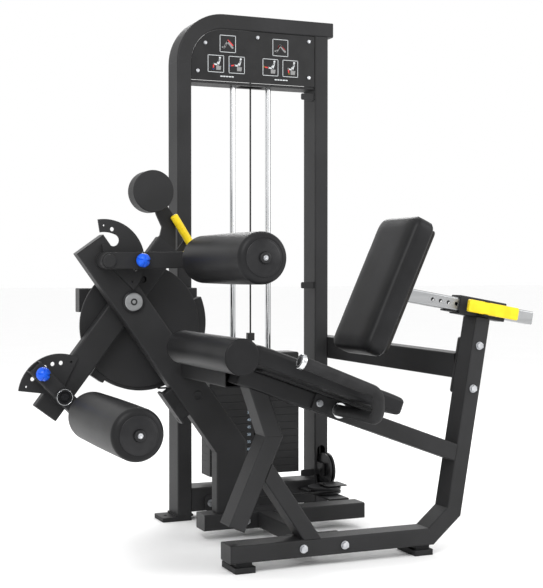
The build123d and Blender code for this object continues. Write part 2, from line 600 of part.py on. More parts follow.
# ---- Pulley axles and brackets -------------------------------------------------------------
SIDE_GAP, BRACKET_T = 3.0, 6.0       # between a pulley and its bracket, and a bracket's plate
fork = PULLEY_W / 2 + SIDE_GAP
mast_far = MAST_Y + MAST_D


def pulley_axle(name, start, end):
    """An axle along the pulley's own direction, from start to end either side of its centre."""
    centre, axle = PULLEYS[name]
    return round_bar(centre + axle * start, centre + axle * end, AXLE_R)


def hanger(y):
    """A plate under the top beam that carries the two top pulleys."""
    with BuildPart() as plate:
        with BuildSketch(side(y)):
            with Locations(((STACK_X + cable_out_x) / 2 - 24, (PULLEY_TOP_Z + TOWER_H - TOWER_W) / 2 - 20)):
                Rectangle(cable_out_x - STACK_X - 60, TOWER_H - TOWER_W - PULLEY_TOP_Z + 40)
            for name in ("stack_pulley", "column_top_pulley"):
                with Locations((PULLEYS[name][0].X - X0, PULLEY_TOP_Z)):
                    Circle(AXLE_R, mode=Mode.SUBTRACT)
        extrude(amount=-BRACKET_T)
    return plate


def fork_plate(x):
    """A plate on the column's face, beside the low pulley."""
    y, z = PULLEY_LOW
    with BuildPart() as plate:
        with BuildSketch(Plane(origin=at(x, 0, 0), x_dir=(0, 1, 0), z_dir=(1, 0, 0))):
            with Locations(((y - 18 + TOWER_Y) / 2, z)):
                Rectangle(TOWER_Y - y + 18, 44)
            with Locations((y, z)):
                Circle(AXLE_R, mode=Mode.SUBTRACT)
        extrude(amount=BRACKET_T)
    return plate


turn_x, deck_z = cable_out_x - PULLEY_R, cable_low_z - PULLEY_W / 2 - SIDE_GAP
with BuildPart() as turn_deck:
    with BuildSketch(Plane(origin=at(turn_x, (MID_Y + TUBE_D + TOWER_Y) / 2, deck_z), z_dir=(0, 0, -1))):
        Rectangle(70, TOWER_Y - MID_Y - TUBE_D)
    extrude(amount=BRACKET_T)
COVER_X, COVER_T = turn_x + 30, 3.0
with BuildPart() as turn_cover:
    with BuildSketch(Plane(origin=at(COVER_X, TURN_Y, deck_z + PULLEY_W + 2 * SIDE_GAP))):
        RectangleRounded(76, 80, 8)
        with Locations((turn_x - COVER_X, 0)):
            Circle(AXLE_R, mode=Mode.SUBTRACT)
    extrude(amount=COVER_T)
with BuildPart() as base_plate:
    with BuildSketch(side(mast_far)):
        with Locations(((MAST_KINK[0] + 60 + base_x + 24) / 2, BASE_Z - 15)):
            Rectangle(base_x + 24 - MAST_KINK[0] - 60, 2 * (BASE_Z - 15 - FOOT_H - TUBE_W))
        with Locations((base_x, BASE_Z)):
            Circle(AXLE_R, mode=Mode.SUBTRACT)
    extrude(amount=-BRACKET_T)
reach_in = CABLE_Y - mast_far
pulley_axles = [
    pulley_axle("stack_pulley", -fork - BRACKET_T - 4, fork + BRACKET_T + 4),
    pulley_axle("column_top_pulley", -fork - BRACKET_T - 4, fork + BRACKET_T + 4),
    pulley_axle("column_low_pulley", -fork - BRACKET_T - 4, fork + BRACKET_T + 4),
    pulley_axle("turn_pulley", -fork, fork + COVER_T + 5),
    pulley_axle("base_pulley", -reach_in, fork + 5),
    pulley_axle("guide_pulley", -reach_in - MAST_D, fork + 5)]
spacers = [round_bar(centre - axle * (reach_in - skip), centre - axle * (PULLEY_W / 2 - 2), AXLE_R + 6, AXLE_R)
           for (centre, axle), skip in ((PULLEYS["base_pulley"], BRACKET_T), (PULLEYS["guide_pulley"], 0))]
group("pulley_brackets", hanger(STACK_Y - fork - BRACKET_T), hanger(STACK_Y + fork), turn_deck, turn_cover,
      fork_plate(cable_out_x - fork - BRACKET_T), fork_plate(cable_out_x + fork), base_plate,
      *pulley_axles, *spacers, *bearings)

# ---- Cable: the run that the stack pulls, the fixed run, and the run on the cam ------------
LEAD = 20.0          # straight cable before and after a pulley
top_z = PULLEY_TOP_Z + PULLEY_R
low_y = PULLEY_LOW[0] + PULLEY_R
group("cable_stack_run",
      round_bar(at(STACK_X, STACK_Y, link_high), at(STACK_X, STACK_Y, PULLEY_TOP_Z - LEAD), CABLE_R))


def cable_piece(points):
    """A cable along straight runs and pulley arcs of one radius."""
    with BuildPart() as cable:
        with BuildLine() as path:
            FilletPolyline(*points, radius=PULLEY_R)
        with BuildSketch(Plane(origin=path.line @ 0, z_dir=path.line % 0)):
            Circle(CABLE_R)
        sweep()
    return cable


top_run = cable_piece([at(STACK_X, STACK_Y, PULLEY_TOP_Z - LEAD), at(STACK_X, STACK_Y, top_z),
             at(cable_out_x, STACK_Y, top_z), at(cable_out_x, STACK_Y, PULLEY_TOP_Z - 2 * LEAD),
             at(cable_out_x, low_y, BASE_Z + 3 * LEAD), at(cable_out_x, low_y, BASE_Z + LEAD)])
base_run = cable_piece([at(cable_out_x, low_y, BASE_Z + LEAD), at(cable_out_x, low_y, cable_low_z),
             at(cable_out_x, CABLE_Y, cable_low_z), at(base_x - PULLEY_R, CABLE_Y, cable_low_z),
             at(base_x - PULLEY_R, CABLE_Y, cam_low_z), at(GUIDE_X - LEAD, CABLE_Y, cam_low_z)])
group("cable_fixed_run", top_run, base_run)
group("cable_cam_run",
      round_bar(at(GUIDE_X - LEAD, CABLE_Y, cam_low_z), at(RIM_C[0] + 56, CABLE_Y, cam_low_z), CABLE_R))
CLAMP_L = 46.0
WRAP_END = 334.0     # the cable lies in the rim's groove this far round when the cam is fully turned
rim_axis = Axis(at(RIM_C[0], CABLE_Y, RIM_C[1]), (0, -1, 0))


def rim_plane(angle):
    """A radial plane of the rim: local x points outward, local y along the cam's axis."""
    outward = Vector(cos(radians(angle)), 0, sin(radians(angle)))
    return Plane(origin=at(RIM_C[0], CABLE_Y, RIM_C[1]), x_dir=outward, z_dir=outward.cross(Vector(0, -1, 0)))


with BuildPart() as cable_wrap:
    with BuildSketch(rim_plane(CLAMP_ANGLE)):
        with Locations((RIM_R, 0)):
            Circle(CABLE_R)
    revolve(axis=rim_axis, revolution_arc=WRAP_END - CLAMP_ANGLE)

# ---- Cam -----------------------------------------------------------------------------------
START_R = 84.0       # radius of the start position holes about the main pivot
hub_r, hub_far = 34.0, TOWER_Y - SUPPORT_D - 4
with BuildPart() as cam_disc:
    with BuildSketch(side(CAM_Y)):
        with Locations(CAM_C):
            Circle(CAM_R)
        with Locations(PIVOT):
            Circle(PIVOT_R + RUN_PLAY + 5, mode=Mode.SUBTRACT)
        for step in range(-1, 6):
            with Locations(polar(PIVOT, START_R, LEVER_ANGLE + 180 + step * STOP_STEP)):
                Circle(PIN_HOLE_R, mode=Mode.SUBTRACT)
    extrude(amount=-CAM_T)
    chamfer(cam_disc.faces().sort_by(Axis.Y)[0].outer_wire().edges(), 1.5)
with BuildPart() as cam_hub:
    add(cross_bar(PIVOT, CAM_Y + CAM_T, hub_far, hub_r, PIVOT_R + 5).part)
group("cam_disc", cam_disc, cam_hub, cross_bar(PIVOT, CAM_Y, CAM_Y + 30, PIVOT_R + 5, PIVOT_R + RUN_PLAY),
      cross_bar(PIVOT, hub_far - 30, hub_far, PIVOT_R + 5, PIVOT_R + RUN_PLAY))
RIM_IN = 36.0        # radial depth of the rim
rim_near = CAM_Y + CAM_T
with BuildPart() as cam_rim:
    with BuildSketch(rim_plane(CLAMP_ANGLE)):
        with Locations((RIM_R - RIM_IN / 2 + 4, 0)):
            Rectangle(RIM_IN, 2 * (CABLE_Y - rim_near))
        with Locations((RIM_R, 0)):
            Circle(groove_r, mode=Mode.SUBTRACT)
        with Locations((RIM_R + 4, 0)):
            Rectangle(8, 2 * groove_r, mode=Mode.SUBTRACT)
    revolve(axis=rim_axis, revolution_arc=RIM_END - CLAMP_ANGLE)
with BuildPart() as cable_clamp:
    with BuildSketch(side(rim_near)):
        with Locations(Location((*polar(RIM_C, RIM_R, CLAMP_ANGLE - 6.5), 0), (0, 0, CLAMP_ANGLE))):
            RectangleRounded(34, CLAMP_L, 3)
    extrude(amount=-2 * (CABLE_Y - rim_near))
group("cam_rim", cam_rim, cable_clamp, cable_wrap)

PLUNGER_R = 9.0

# ---- Lever ---------------------------------------------------------------------------------
lever_dir = Vector(cos(radians(LEVER_ANGLE)), 0, sin(radians(LEVER_ANGLE)))
lever_y = LEVER_Y + LEVER_D / 2
lever_pivot = at(PIVOT[0], lever_y, PIVOT[1])
lever_low = lever_pivot + lever_dir * (LEVER_DOWN - PLUG)
lever_high = lever_pivot - lever_dir * (LEVER_UP - PLUG)
start_pin_at = polar(PIVOT, START_R, LEVER_ANGLE + 180)
LEVER_HUB_R = 30.0
with BuildPart() as lever_tube:
    add(box_tube(lever_high, lever_low, LEVER_D, LEVER_W).part)
    with BuildSketch(side(LEVER_Y - 5)):
        with Locations(PIVOT):
            Circle(LEVER_HUB_R)
        with Locations(LOW_PIVOT):
            Circle(ROLLER_AXLE_R)
        with Locations(start_pin_at):
            Circle(PIN_HOLE_R + 3)
    extrude(amount=-LEVER_D - 10, mode=Mode.SUBTRACT)
lever_hub = cross_bar(PIVOT, LEVER_Y - 4, LEVER_Y + LEVER_D + 1, LEVER_HUB_R, PIVOT_R + 5)
lever_bush = cross_bar(PIVOT, LEVER_Y - 4, LEVER_Y + LEVER_D + 1, PIVOT_R + 5, PIVOT_R + RUN_PLAY)
lever_plugs = [end_plug(lever_low, lever_dir, LEVER_D, LEVER_W), end_plug(lever_high, -lever_dir, LEVER_D, LEVER_W)]


def sector_plate(centre, start, end, holes, reach, far_y, notch=False):
    """A pie-shaped plate with stop holes; the plate lies on a face at far_y and points at the user."""
    with BuildPart() as plate:
        with BuildSketch(side(far_y)):
            with BuildLine():
                first, last = polar(centre, SECTOR_R, start), polar(centre, SECTOR_R, end)
                Line(centre, first)
                ThreePointArc(first, polar(centre, SECTOR_R, (start + end) / 2), last)
                Line(last, centre)
            make_face()
            with Locations(centre):
                Circle(HUB_R)
            for angle in holes:
                with Locations(polar(centre, reach, angle)):
                    Circle(PIN_HOLE_R, mode=Mode.SUBTRACT)
            for angle in (start + 8, end - 8):
                with Locations(polar(centre, reach + 8, angle)):
                    Circle(3, mode=Mode.SUBTRACT)
            if notch:
                inner, outer, off = NOTCH_R - NOTCH_W / 2, NOTCH_R + NOTCH_W / 2, end + NOTCH_PAST
                middle = (NOTCH_START + off) / 2
                with BuildLine():
                    ThreePointArc(*[polar(centre, inner, a) for a in (NOTCH_START, middle, off)])
                    Line(polar(centre, inner, off), polar(centre, outer, off))
                    ThreePointArc(*[polar(centre, outer, a) for a in (off, middle, NOTCH_START)])
                    Line(polar(centre, outer, NOTCH_START), polar(centre, inner, NOTCH_START))
                make_face(mode=Mode.SUBTRACT)
                with Locations(polar(centre, NOTCH_R, NOTCH_START)):
                    Circle(NOTCH_W / 2, mode=Mode.SUBTRACT)
            with Locations(centre):
                Circle(ROLLER_AXLE_R, mode=Mode.SUBTRACT)
        extrude(amount=SECTOR_T)
    return plate


LOW_PIN_ANGLE, UP_PIN_ANGLE = 133.0, 1.0
low_holes = [LOW_PIN_ANGLE + step * STOP_STEP for step in range(-3, 2)]
save(sector_plate(LOW_PIVOT, 63, 172, low_holes, LOW_PIN_REACH, LEVER_Y), "lower_sector_plate")
low_pin = cross_bar(LOW_PIVOT, LOW_Y, LEVER_Y + LEVER_D - WALL, ROLLER_AXLE_R)
with BuildPart() as low_cap:
    with BuildSketch(side(LOW_Y)):
        with Locations(LOW_PIVOT):
            Circle(26)
    extrude(amount=9)
    chamfer(low_cap.faces().sort_by(Axis.Y)[0].edges(), 3)
    with BuildSketch(side(LOW_Y - 9)):
        with Locations(LOW_PIVOT):
            Circle(17)
    extrude(amount=-5, mode=Mode.SUBTRACT)
    with BuildSketch(side(LOW_Y - 4)):
        with Locations(LOW_PIVOT):
            RegularPolygon(11, 6)
    extrude(amount=6)
group("lower_pivot", low_pin, low_cap)

# Counterweight on its neck, which is welded to the lever's upper end plug
WEIGHT_C, WEIGHT_R, WEIGHT_NEAR, WEIGHT_T = (-62.0, 1080.0), 65.0, 490.0, 60.0
with BuildPart() as counterweight:
    add(cross_bar(WEIGHT_C, WEIGHT_NEAR, WEIGHT_NEAR + WEIGHT_T, WEIGHT_R).part)
    chamfer(counterweight.faces().filter_by(Axis.Y).edges(), 2)
lever_end = polar(PIVOT, LEVER_UP + 0.2, LEVER_ANGLE - 180)
end_left = polar(lever_end, 36, LEVER_ANGLE - 90)
end_right = polar(lever_end, 36, LEVER_ANGLE + 90)
NECK_T = 12.0
neck_near = WEIGHT_NEAR + WEIGHT_T - 20
with BuildPart() as weight_neck:
    with BuildSketch(side(neck_near)):
        with BuildLine():
            Polyline(end_left, (-28, 946), (-22, 972), (-40, 1010), WEIGHT_C, (-10, 1044), (22, 1000),
                     end_right, end_left)
        make_face()
        with Locations(WEIGHT_C):
            Circle(WEIGHT_R + 0.1, mode=Mode.SUBTRACT)
    extrude(amount=-NECK_T)
group("counterweight", counterweight, weight_neck)

# ---- Start position release: a sprung grip that draws the pin out of the cam disc -----------
GRIP_LOW, GRIP_HIGH, GRIP_R = (70.0, 914.0), (10.0, 1008.0), 12.5
RELEASE_PIVOT, RELEASE_ELBOW = (38.0, 886.0), (72.0, 900.0)
release_y = LEVER_Y + 8
BRACKET_OFF = 14.0   # from the release lever's middle to its bracket
with BuildPart() as release_lever:
    with BuildSketch(side(release_y - 4)):
        link(RELEASE_PIVOT, RELEASE_ELBOW, 16)
        link(RELEASE_ELBOW, polar(GRIP_LOW, 14, 122.5), 16)
        with Locations(RELEASE_PIVOT):
            Circle(5 + RUN_PLAY, mode=Mode.SUBTRACT)
    extrude(amount=-8)
grip_start = at(GRIP_LOW[0], release_y, GRIP_LOW[1])
grip_end = at(GRIP_HIGH[0], release_y, GRIP_HIGH[1])
with BuildPart() as release_grip:
    add(round_bar(grip_start, grip_end, GRIP_R).part)
    fillet(release_grip.faces().filter_by(GeomType.PLANE).edges(), 6)
    add(release_lever.part, mode=Mode.SUBTRACT)
group("release_grip", release_lever, release_grip)
with BuildPart() as release_bracket:
    with BuildSketch(side(release_y + BRACKET_OFF)):
        with BuildLine():
            Polyline(end_right, polar(end_right, 60, LEVER_ANGLE + 180), (RELEASE_PIVOT[0] + 9, RELEASE_PIVOT[1] + 6),
                     (RELEASE_PIVOT[0] + 4, RELEASE_PIVOT[1] - 12), polar(end_right, 24, LEVER_ANGLE), end_right)
        make_face()
    extrude(amount=-6)
    add(lever_tube.part, mode=Mode.SUBTRACT)
    add(cross_bar(RELEASE_PIVOT, release_y - 8, release_y + BRACKET_OFF, 5).part)
group("lever_tube", lever_tube, lever_hub, lever_bush, release_bracket, *lever_plugs)
with BuildPart() as start_pin:
    add(cross_bar(start_pin_at, LEVER_Y + 6, CAM_Y - 0.6, PIN_R).part)
    add(cross_bar(start_pin_at, LEVER_Y + 6, LEVER_Y + 14, PIN_R + 3).part)
save(start_pin, "start_pin")

# ---- Lower bracket: adjusts about the lever's lower pivot -----------------------------------
low_gap_y = LOW_Y + LOW_D
low_dir_angle = degrees(atan2(LOW_ROLLER[1] - LOW_PIVOT[1], LOW_ROLLER[0] - LOW_PIVOT[0]))
low_knob_at = polar(LOW_PIVOT, LOW_PIN_REACH, LOW_PIN_ANGLE)
LOW_END = 27.0       # tube beyond the knob's and the roller's axes
low_mid_y = LOW_Y + LOW_D / 2
low_from, low_to = polar(low_knob_at, LOW_END, LOW_PIN_ANGLE), polar(LOW_ROLLER, LOW_END, low_dir_angle)
with BuildPart() as lower_bracket:
    add(box_tube(at(low_from[0], low_mid_y, low_from[1]), at(low_to[0], low_mid_y, low_to[1]),
                 LOW_D, LOW_TUBE).part)
    with BuildSketch(side(LOW_Y - 5)):
        with Locations(LOW_PIVOT):
            Circle(ROLLER_AXLE_R + 4)
        with Locations(LOW_ROLLER):
            Circle(ROLLER_AXLE_R)
        with Locations(low_knob_at):
            Circle(PLUNGER_R)
    extrude(amount=-LOW_D - 10, mode=Mode.SUBTRACT)
lower_bush = cross_bar(LOW_PIVOT, LOW_Y + 0.4, low_gap_y + 1, ROLLER_AXLE_R + 4, ROLLER_AXLE_R + RUN_PLAY)

# ---- Upper arm: holds the thigh roller ------------------------------------------------------
upper_holes = [UP_PIN_ANGLE + step * STOP_STEP for step in (-1, 0, 5)]
save(sector_plate(UP_PIVOT, -44, 99, upper_holes, UP_PIN_REACH, MAST_Y, notch=True), "upper_sector_plate")
arm_angle = degrees(atan2(UP_ROLLER[1] - UP_PIVOT[1], UP_ROLLER[0] - UP_PIVOT[0]))
up_knob_at = polar(UP_PIVOT, UP_PIN_REACH, UP_PIN_ANGLE)
with BuildPart() as upper_arm:
    with BuildSketch(side(UP_Y)):
        link(UP_PIVOT, UP_ROLLER, UP_ARM_W)
        with Locations(UP_PIVOT):
            Circle(ROLLER_AXLE_R + 4, mode=Mode.SUBTRACT)
        with Locations(UP_ROLLER):
            Circle(ROLLER_AXLE_R, mode=Mode.SUBTRACT)
        with Locations(up_knob_at):
            Circle(PLUNGER_R, mode=Mode.SUBTRACT)
    extrude(amount=-UP_D)
    fillet(upper_arm.faces().sort_by(Axis.Y)[0].outer_wire().edges(), 3)
upper_far = UP_Y + UP_D
upper_bush = cross_bar(UP_PIVOT, UP_Y + 0.4, upper_far + 1, ROLLER_AXLE_R + 4, ROLLER_AXLE_R + RUN_PLAY)
upper_pin = cross_bar(UP_PIVOT, UP_Y - 2, MAST_Y + MAST_D, ROLLER_AXLE_R)
with BuildPart() as upper_cap:
    add(cross_bar(UP_PIVOT, UP_Y - 8, UP_Y - 2, 20).part)
    fillet(upper_cap.faces().sort_by(Axis.Y)[0].edges(), 3)
group("pivot_axles", main_axle, axle_cap, upper_pin, upper_cap)

# ---- Pull pins: a plunger housing in the arm, and a knob on a sprung pin ---------------------
ARMS = {"lower": (lower_bracket, lower_bush, low_knob_at, LOW_Y, LOW_Y + LOW_D),
        "upper": (upper_arm, upper_bush, up_knob_at, UP_Y, upper_far)}
for arm, (body, bush, point, near, far) in ARMS.items():
    with BuildPart() as housing:
        add(cross_bar(point, near, far, PLUNGER_R, PIN_R + 0.4).part)
        add(cross_bar(point, near - 6, near, PLUNGER_R + 4, PIN_R + 0.4).part)
    group({"lower": "lower_bracket", "upper": "upper_arm"}[arm], body, bush, housing)
    with BuildPart() as knob:
        with BuildSketch(Plane(origin=at(point[0], near - 8, point[1]), x_dir=(1, 0, 0), z_dir=(0, 0, 1))):
            with BuildLine():
                Polyline((0, 0), (11, 0), (13, -8), (21, -16), (21, -24), (16, -30), (0, -32), (0, 0))
            make_face()
        revolve(axis=Axis(at(point[0], 0, point[1]), (0, 1, 0)))
        fillet(knob.edges().filter_by(GeomType.CIRCLE).sort_by(Axis.Y)[:4], 2)
        add(cross_bar(point, near - 10, far + ARM_GAP - 1.2, PIN_R).part)
    save(knob, f"{arm}_pull_knob")

# ---- Rollers ---------------------------------------------------------------------------------
CAP_R, CAP_T, ROLLER_ROUND, BUSH_L = 53.0, 5.0, 16.0, 40.0
for arm, point, axle_far in (("lower", LOW_ROLLER, LOW_Y + LOW_D - 2), ("upper", UP_ROLLER, upper_far - 2)):
    with BuildPart() as pad:
        add(cross_bar(point, ROLLER_NEAR, ROLLER_FAR, ROLLER_R, CORE_R).part)
        ends = pad.faces().filter_by(Axis.Y)
        fillet([face.outer_wire().edges()[0] for face in ends], ROLLER_ROUND)
    save(pad, f"{arm}_roller_pad")
    core = cross_bar(point, ROLLER_NEAR, ROLLER_FAR, CORE_R, CORE_R - WALL)
    bushes = [cross_bar(point, start, start + BUSH_L, CORE_R - WALL, ROLLER_AXLE_R + RUN_PLAY)
              for start in (ROLLER_NEAR, ROLLER_FAR - BUSH_L)]
    caps = []
    for start, outer in ((ROLLER_NEAR - CAP_T, 0), (ROLLER_FAR, -1)):
        with BuildPart() as cap:
            add(cross_bar(point, start, start + CAP_T, CAP_R, ROLLER_AXLE_R + 1).part)
            fillet(cap.faces().sort_by(Axis.Y)[outer].outer_wire().edges(), CAP_T / 2)
        caps.append(cap)
    group(f"{arm}_roller_hub", core, *bushes, *caps)
    axle_near = ROLLER_NEAR - CAP_T - 1
    with BuildPart() as roller_axle:
        add(cross_bar(point, axle_near, axle_far, ROLLER_AXLE_R).part)
        add(cross_bar(point, ROLLER_FAR + CAP_T + 1, ROLLER_FAR + CAP_T + 9, ROLLER_AXLE_R + 8).part)
    with BuildPart() as axle_nut:
        add(cross_bar(point, axle_near - 2, axle_near, 14).part)
        with BuildSketch(side(axle_near - 2)):
            with Locations(point):
                RegularPolygon(10, 6)
        extrude(amount=6)
    group(f"{arm}_roller_axle", roller_axle, axle_nut)

# ---- Bump stop on the mast's lower edge --------------------------------------------------------
mast_left = Vector(-sin(radians(MAST_LEAN)), 0, -cos(radians(MAST_LEAN)))
STOP_DOWN = 340.0    # from the main pivot, along the mast
stop_mid = mast_top - mast_up * (MAST_REACH + STOP_DOWN) + mast_left * (MAST_W / 2)
STOP_L, STOP_T, STOP_W, BLOCK_T = 120.0, 6.0, 46.0, 28.0
with BuildPart() as stop_plate:
    with BuildSketch(Plane(origin=stop_mid + mast_left * BLOCK_T, x_dir=mast_up, z_dir=mast_left)):
        RectangleRounded(STOP_L, STOP_W, 8)
        with GridLocations(STOP_L - 28, 1, 2, 1):
            SlotOverall(16, 7, rotation=0, mode=Mode.SUBTRACT)
    extrude(amount=STOP_T)
frame_plates.append(stop_plate)
with BuildPart() as stop_block:
    with BuildSketch(Plane(origin=stop_mid, x_dir=mast_up, z_dir=mast_left)):
        RectangleRounded(STOP_L - 16, STOP_W - 6, 6)
    extrude(amount=BLOCK_T)
group("rubber_stops", stop_block, *stack_bumpers)

# ---- Seat --------------------------------------------------------------------------------------
roll_at = at(SEAT_ROLL[0], 0, SEAT_ROLL[1])
with BuildPart() as seat_roll:
    add(cross_bar(SEAT_ROLL, SEAT_NEAR, SEAT_FAR, SEAT_ROLL_R).part)
    fillet(seat_roll.faces().filter_by(Axis.Y).edges(), 8)
seat_wide, seat_centre = SEAT_FAR - SEAT_NEAR, (SEAT_NEAR + SEAT_FAR) / 2
board_mid = seat_mid + seat_up * (TUBE_W / 2)
pad_start, pad_stop = SEAT_ROLL[0] + 20, PAD_END - 18
pad_low = board_mid + seat_up * BOARD_T
pad_from = pad_low + seat_dir * ((X0 + pad_start - pad_low.X) / seat_dir.X) + Vector(0, Y0 + seat_centre - pad_low.Y, 0)
pad_length = (pad_stop - pad_start) / seat_dir.X
with BuildPart() as seat_pad:
    with BuildSketch(Plane(origin=pad_from, x_dir=(0, 1, 0), z_dir=seat_dir)):
        with Locations((0, PAD_T / 2)):
            RectangleRounded(seat_wide, PAD_T, 10)
    extrude(amount=pad_length)
    add(cross_bar(SEAT_ROLL, SEAT_NEAR - 5, SEAT_FAR + 5, SEAT_ROLL_R + 0.3).part, mode=Mode.SUBTRACT)
group("seat_cushion", seat_roll, seat_pad)
BOARD_W, BOARD_START, BOARD_L = 200.0, 30.0, 370.0
with BuildPart() as seat_board:
    with BuildSketch(Plane(origin=board_mid + seat_dir * (BOARD_START + BOARD_L / 2 - 40), x_dir=seat_dir,
                           z_dir=seat_up)):
        RectangleRounded(BOARD_L, BOARD_W, 12)
    extrude(amount=BOARD_T)
frame_plates.append(seat_board)

# ---- Backrest ------------------------------------------------------------------------------------
back_up = Vector(sin(radians(BACK_TILT)), 0, cos(radians(BACK_TILT)))
back_out = Vector(cos(radians(BACK_TILT)), 0, -sin(radians(BACK_TILT)))
back_mid = at(BACK_FOOT[0], SEAT_MID, BACK_FOOT[1]) + back_up * (BACK_L / 2)
with BuildPart() as backrest_pad:
    with BuildSketch(Plane(origin=back_mid, x_dir=back_up, z_dir=back_out)):
        RectangleRounded(BACK_L, BACK_W, 24)
    extrude(amount=BACK_T)
    fillet(backrest_pad.faces().sort_by(Axis(back_mid, back_out))[0].edges(), 12)
save(backrest_pad, "backrest_pad")
board_face = back_mid + back_out * BACK_T
with BuildPart() as backrest_board:
    with BuildSketch(Plane(origin=board_face, x_dir=back_up, z_dir=back_out)):
        RectangleRounded(BACK_L - 40, BACK_W - 40, 16)
    extrude(amount=BACK_BOARD)
sleeve_mid = post_top + LEAN * (SLEEVE_W / 2)
bracket_plane = board_face + back_out * BACK_BOARD
meet = (bracket_plane - sleeve_mid).dot(back_out) / SLIDE_DIR.dot(back_out)
slide_start = sleeve_mid + SLIDE_DIR * meet
with BuildPart() as backrest_bracket:
    with BuildSketch(Plane(origin=slide_start, x_dir=back_up, z_dir=back_out)):
        RectangleRounded(150, 90, 10)
    extrude(amount=BRACKET_T)
group("backrest_board", backrest_board, backrest_bracket)
tube_cut = Plane(origin=slide_start + back_out * BRACKET_T, z_dir=-back_out)
slide_rear = sleeve_mid + SLIDE_DIR * (SLIDE_END - PLUG)
hole_xs = [-171.5 + i * HOLE_PITCH for i in range(11)]
with BuildPart() as slide_tube:
    add(box_tube(slide_start - SLIDE_DIR * OVERRUN, slide_rear, SLIDE_W, SLIDE_W, cuts=[tube_cut]).part)
    for reach in hole_xs:
        hole_at = sleeve_mid + SLIDE_DIR * reach - TOWARD_TOWER * SLIDE_W
        with BuildSketch(Plane(origin=hole_at, z_dir=TOWARD_TOWER)):
            Circle(PIN_R + 0.8)
        extrude(amount=2 * SLIDE_W, mode=Mode.SUBTRACT)
group("slide_tube", slide_tube, end_plug(slide_rear, SLIDE_DIR, SLIDE_W, SLIDE_W))
sleeve_from, sleeve_to = sleeve_mid - SLIDE_DIR * (SLEEVE_L / 2), sleeve_mid + SLIDE_DIR * (SLEEVE_L / 2)
lock_at = sleeve_mid + SLIDE_DIR * hole_xs[5]
sleeve_plane = Plane(origin=sleeve_from, x_dir=(0, 1, 0), z_dir=SLIDE_DIR)
LINER = 3.0
liner_w = SLIDE_W + 2 * SLIDE_PLAY
with BuildPart() as slide_sleeve:
    with BuildSketch(sleeve_plane):
        RectangleRounded(SLEEVE_W, SLEEVE_W, 4)
        RectangleRounded(liner_w + 2 * LINER, liner_w + 2 * LINER, 3, mode=Mode.SUBTRACT)
    extrude(amount=SLEEVE_L)
    with BuildSketch(Plane(origin=lock_at - TOWARD_TOWER * SLEEVE_W, z_dir=TOWARD_TOWER)):
        Circle(PIN_R + 2)
    extrude(amount=SLEEVE_W, mode=Mode.SUBTRACT)
with BuildPart() as sleeve_liner:
    with BuildSketch(sleeve_plane):
        RectangleRounded(liner_w + 2 * LINER, liner_w + 2 * LINER, 3)
        RectangleRounded(liner_w, liner_w, 3, mode=Mode.SUBTRACT)
    extrude(amount=SLEEVE_L)
    with BuildSketch(Plane(origin=lock_at - TOWARD_TOWER * SLEEVE_W, z_dir=TOWARD_TOWER)):
        Circle(PIN_R + 2)
    extrude(amount=SLEEVE_W, mode=Mode.SUBTRACT)

# Seesaw lever on the sleeve's near side: pressing its rear end in draws the lock pin out
LOCK_GAP, LOCK_T, LOCK_H, LOCK_L = 22.0, 12.0, 37.0, 175.0
sleeve_near = SLEEVE_W / 2
lock_pivot = sleeve_mid - SLIDE_DIR * 8 - TOWARD_TOWER * (sleeve_near + LOCK_GAP + LOCK_T / 2)
lock_mid = sleeve_mid + SLIDE_DIR * 18 - TOWARD_TOWER * (sleeve_near + LOCK_GAP)
LOCK_PIN_R, TAB_T, TAB_W, TAB_GAP = 3.0, 3.0, 16.0, 0.6
tab_mid = LOCK_H / 2 + TAB_GAP + TAB_T / 2
with BuildPart() as lock_lever:
    with BuildSketch(Plane(origin=lock_mid, x_dir=SLIDE_DIR, z_dir=-TOWARD_TOWER)):
        RectangleRounded(LOCK_L, LOCK_H, 5)
    extrude(amount=LOCK_T)
    fillet(lock_lever.faces().sort_by(Axis.Y)[0].edges(), 3)
    add(round_bar(lock_pivot - LEAN * LOCK_H, lock_pivot + LEAN * LOCK_H, LOCK_PIN_R + RUN_PLAY).part,
        mode=Mode.SUBTRACT)
save(lock_lever, "lock_lever")
tabs = []
for way in (-1, 1):
    tab_length = LOCK_GAP + LOCK_T / 2 + TAB_W / 2
    with BuildPart() as tab:
        with BuildSketch(Plane(origin=lock_pivot + LEAN * (way * tab_mid), x_dir=SLIDE_DIR, z_dir=LEAN)):
            with Locations((0, tab_length / 2 - TAB_W / 2)):
                Rectangle(TAB_W, tab_length)
            Circle(LOCK_PIN_R, mode=Mode.SUBTRACT)
        extrude(amount=TAB_T / 2, both=True)
    tabs.append(tab)
pin_half = tab_mid + TAB_T / 2 + 1
lever_pin = round_bar(lock_pivot - LEAN * pin_half, lock_pivot + LEAN * pin_half, LOCK_PIN_R)
save(round_bar(lock_at - TOWARD_TOWER * (sleeve_near + LOCK_GAP - 3), lock_at - TOWARD_TOWER * (SLIDE_W / 2 + 0.6),
               PIN_R), "lock_pin")
with BuildPart() as slide_tongue:
    tongue_at = sleeve_from - LEAN * (SLEEVE_W / 2 - 3)
    with BuildSketch(Plane(origin=tongue_at - SLIDE_DIR * 20, x_dir=SLIDE_DIR, z_dir=LEAN)):
        RectangleRounded(40, 34, 3)
    extrude(amount=4)
group("slide_sleeve", slide_sleeve, slide_tongue, lever_pin, *tabs)

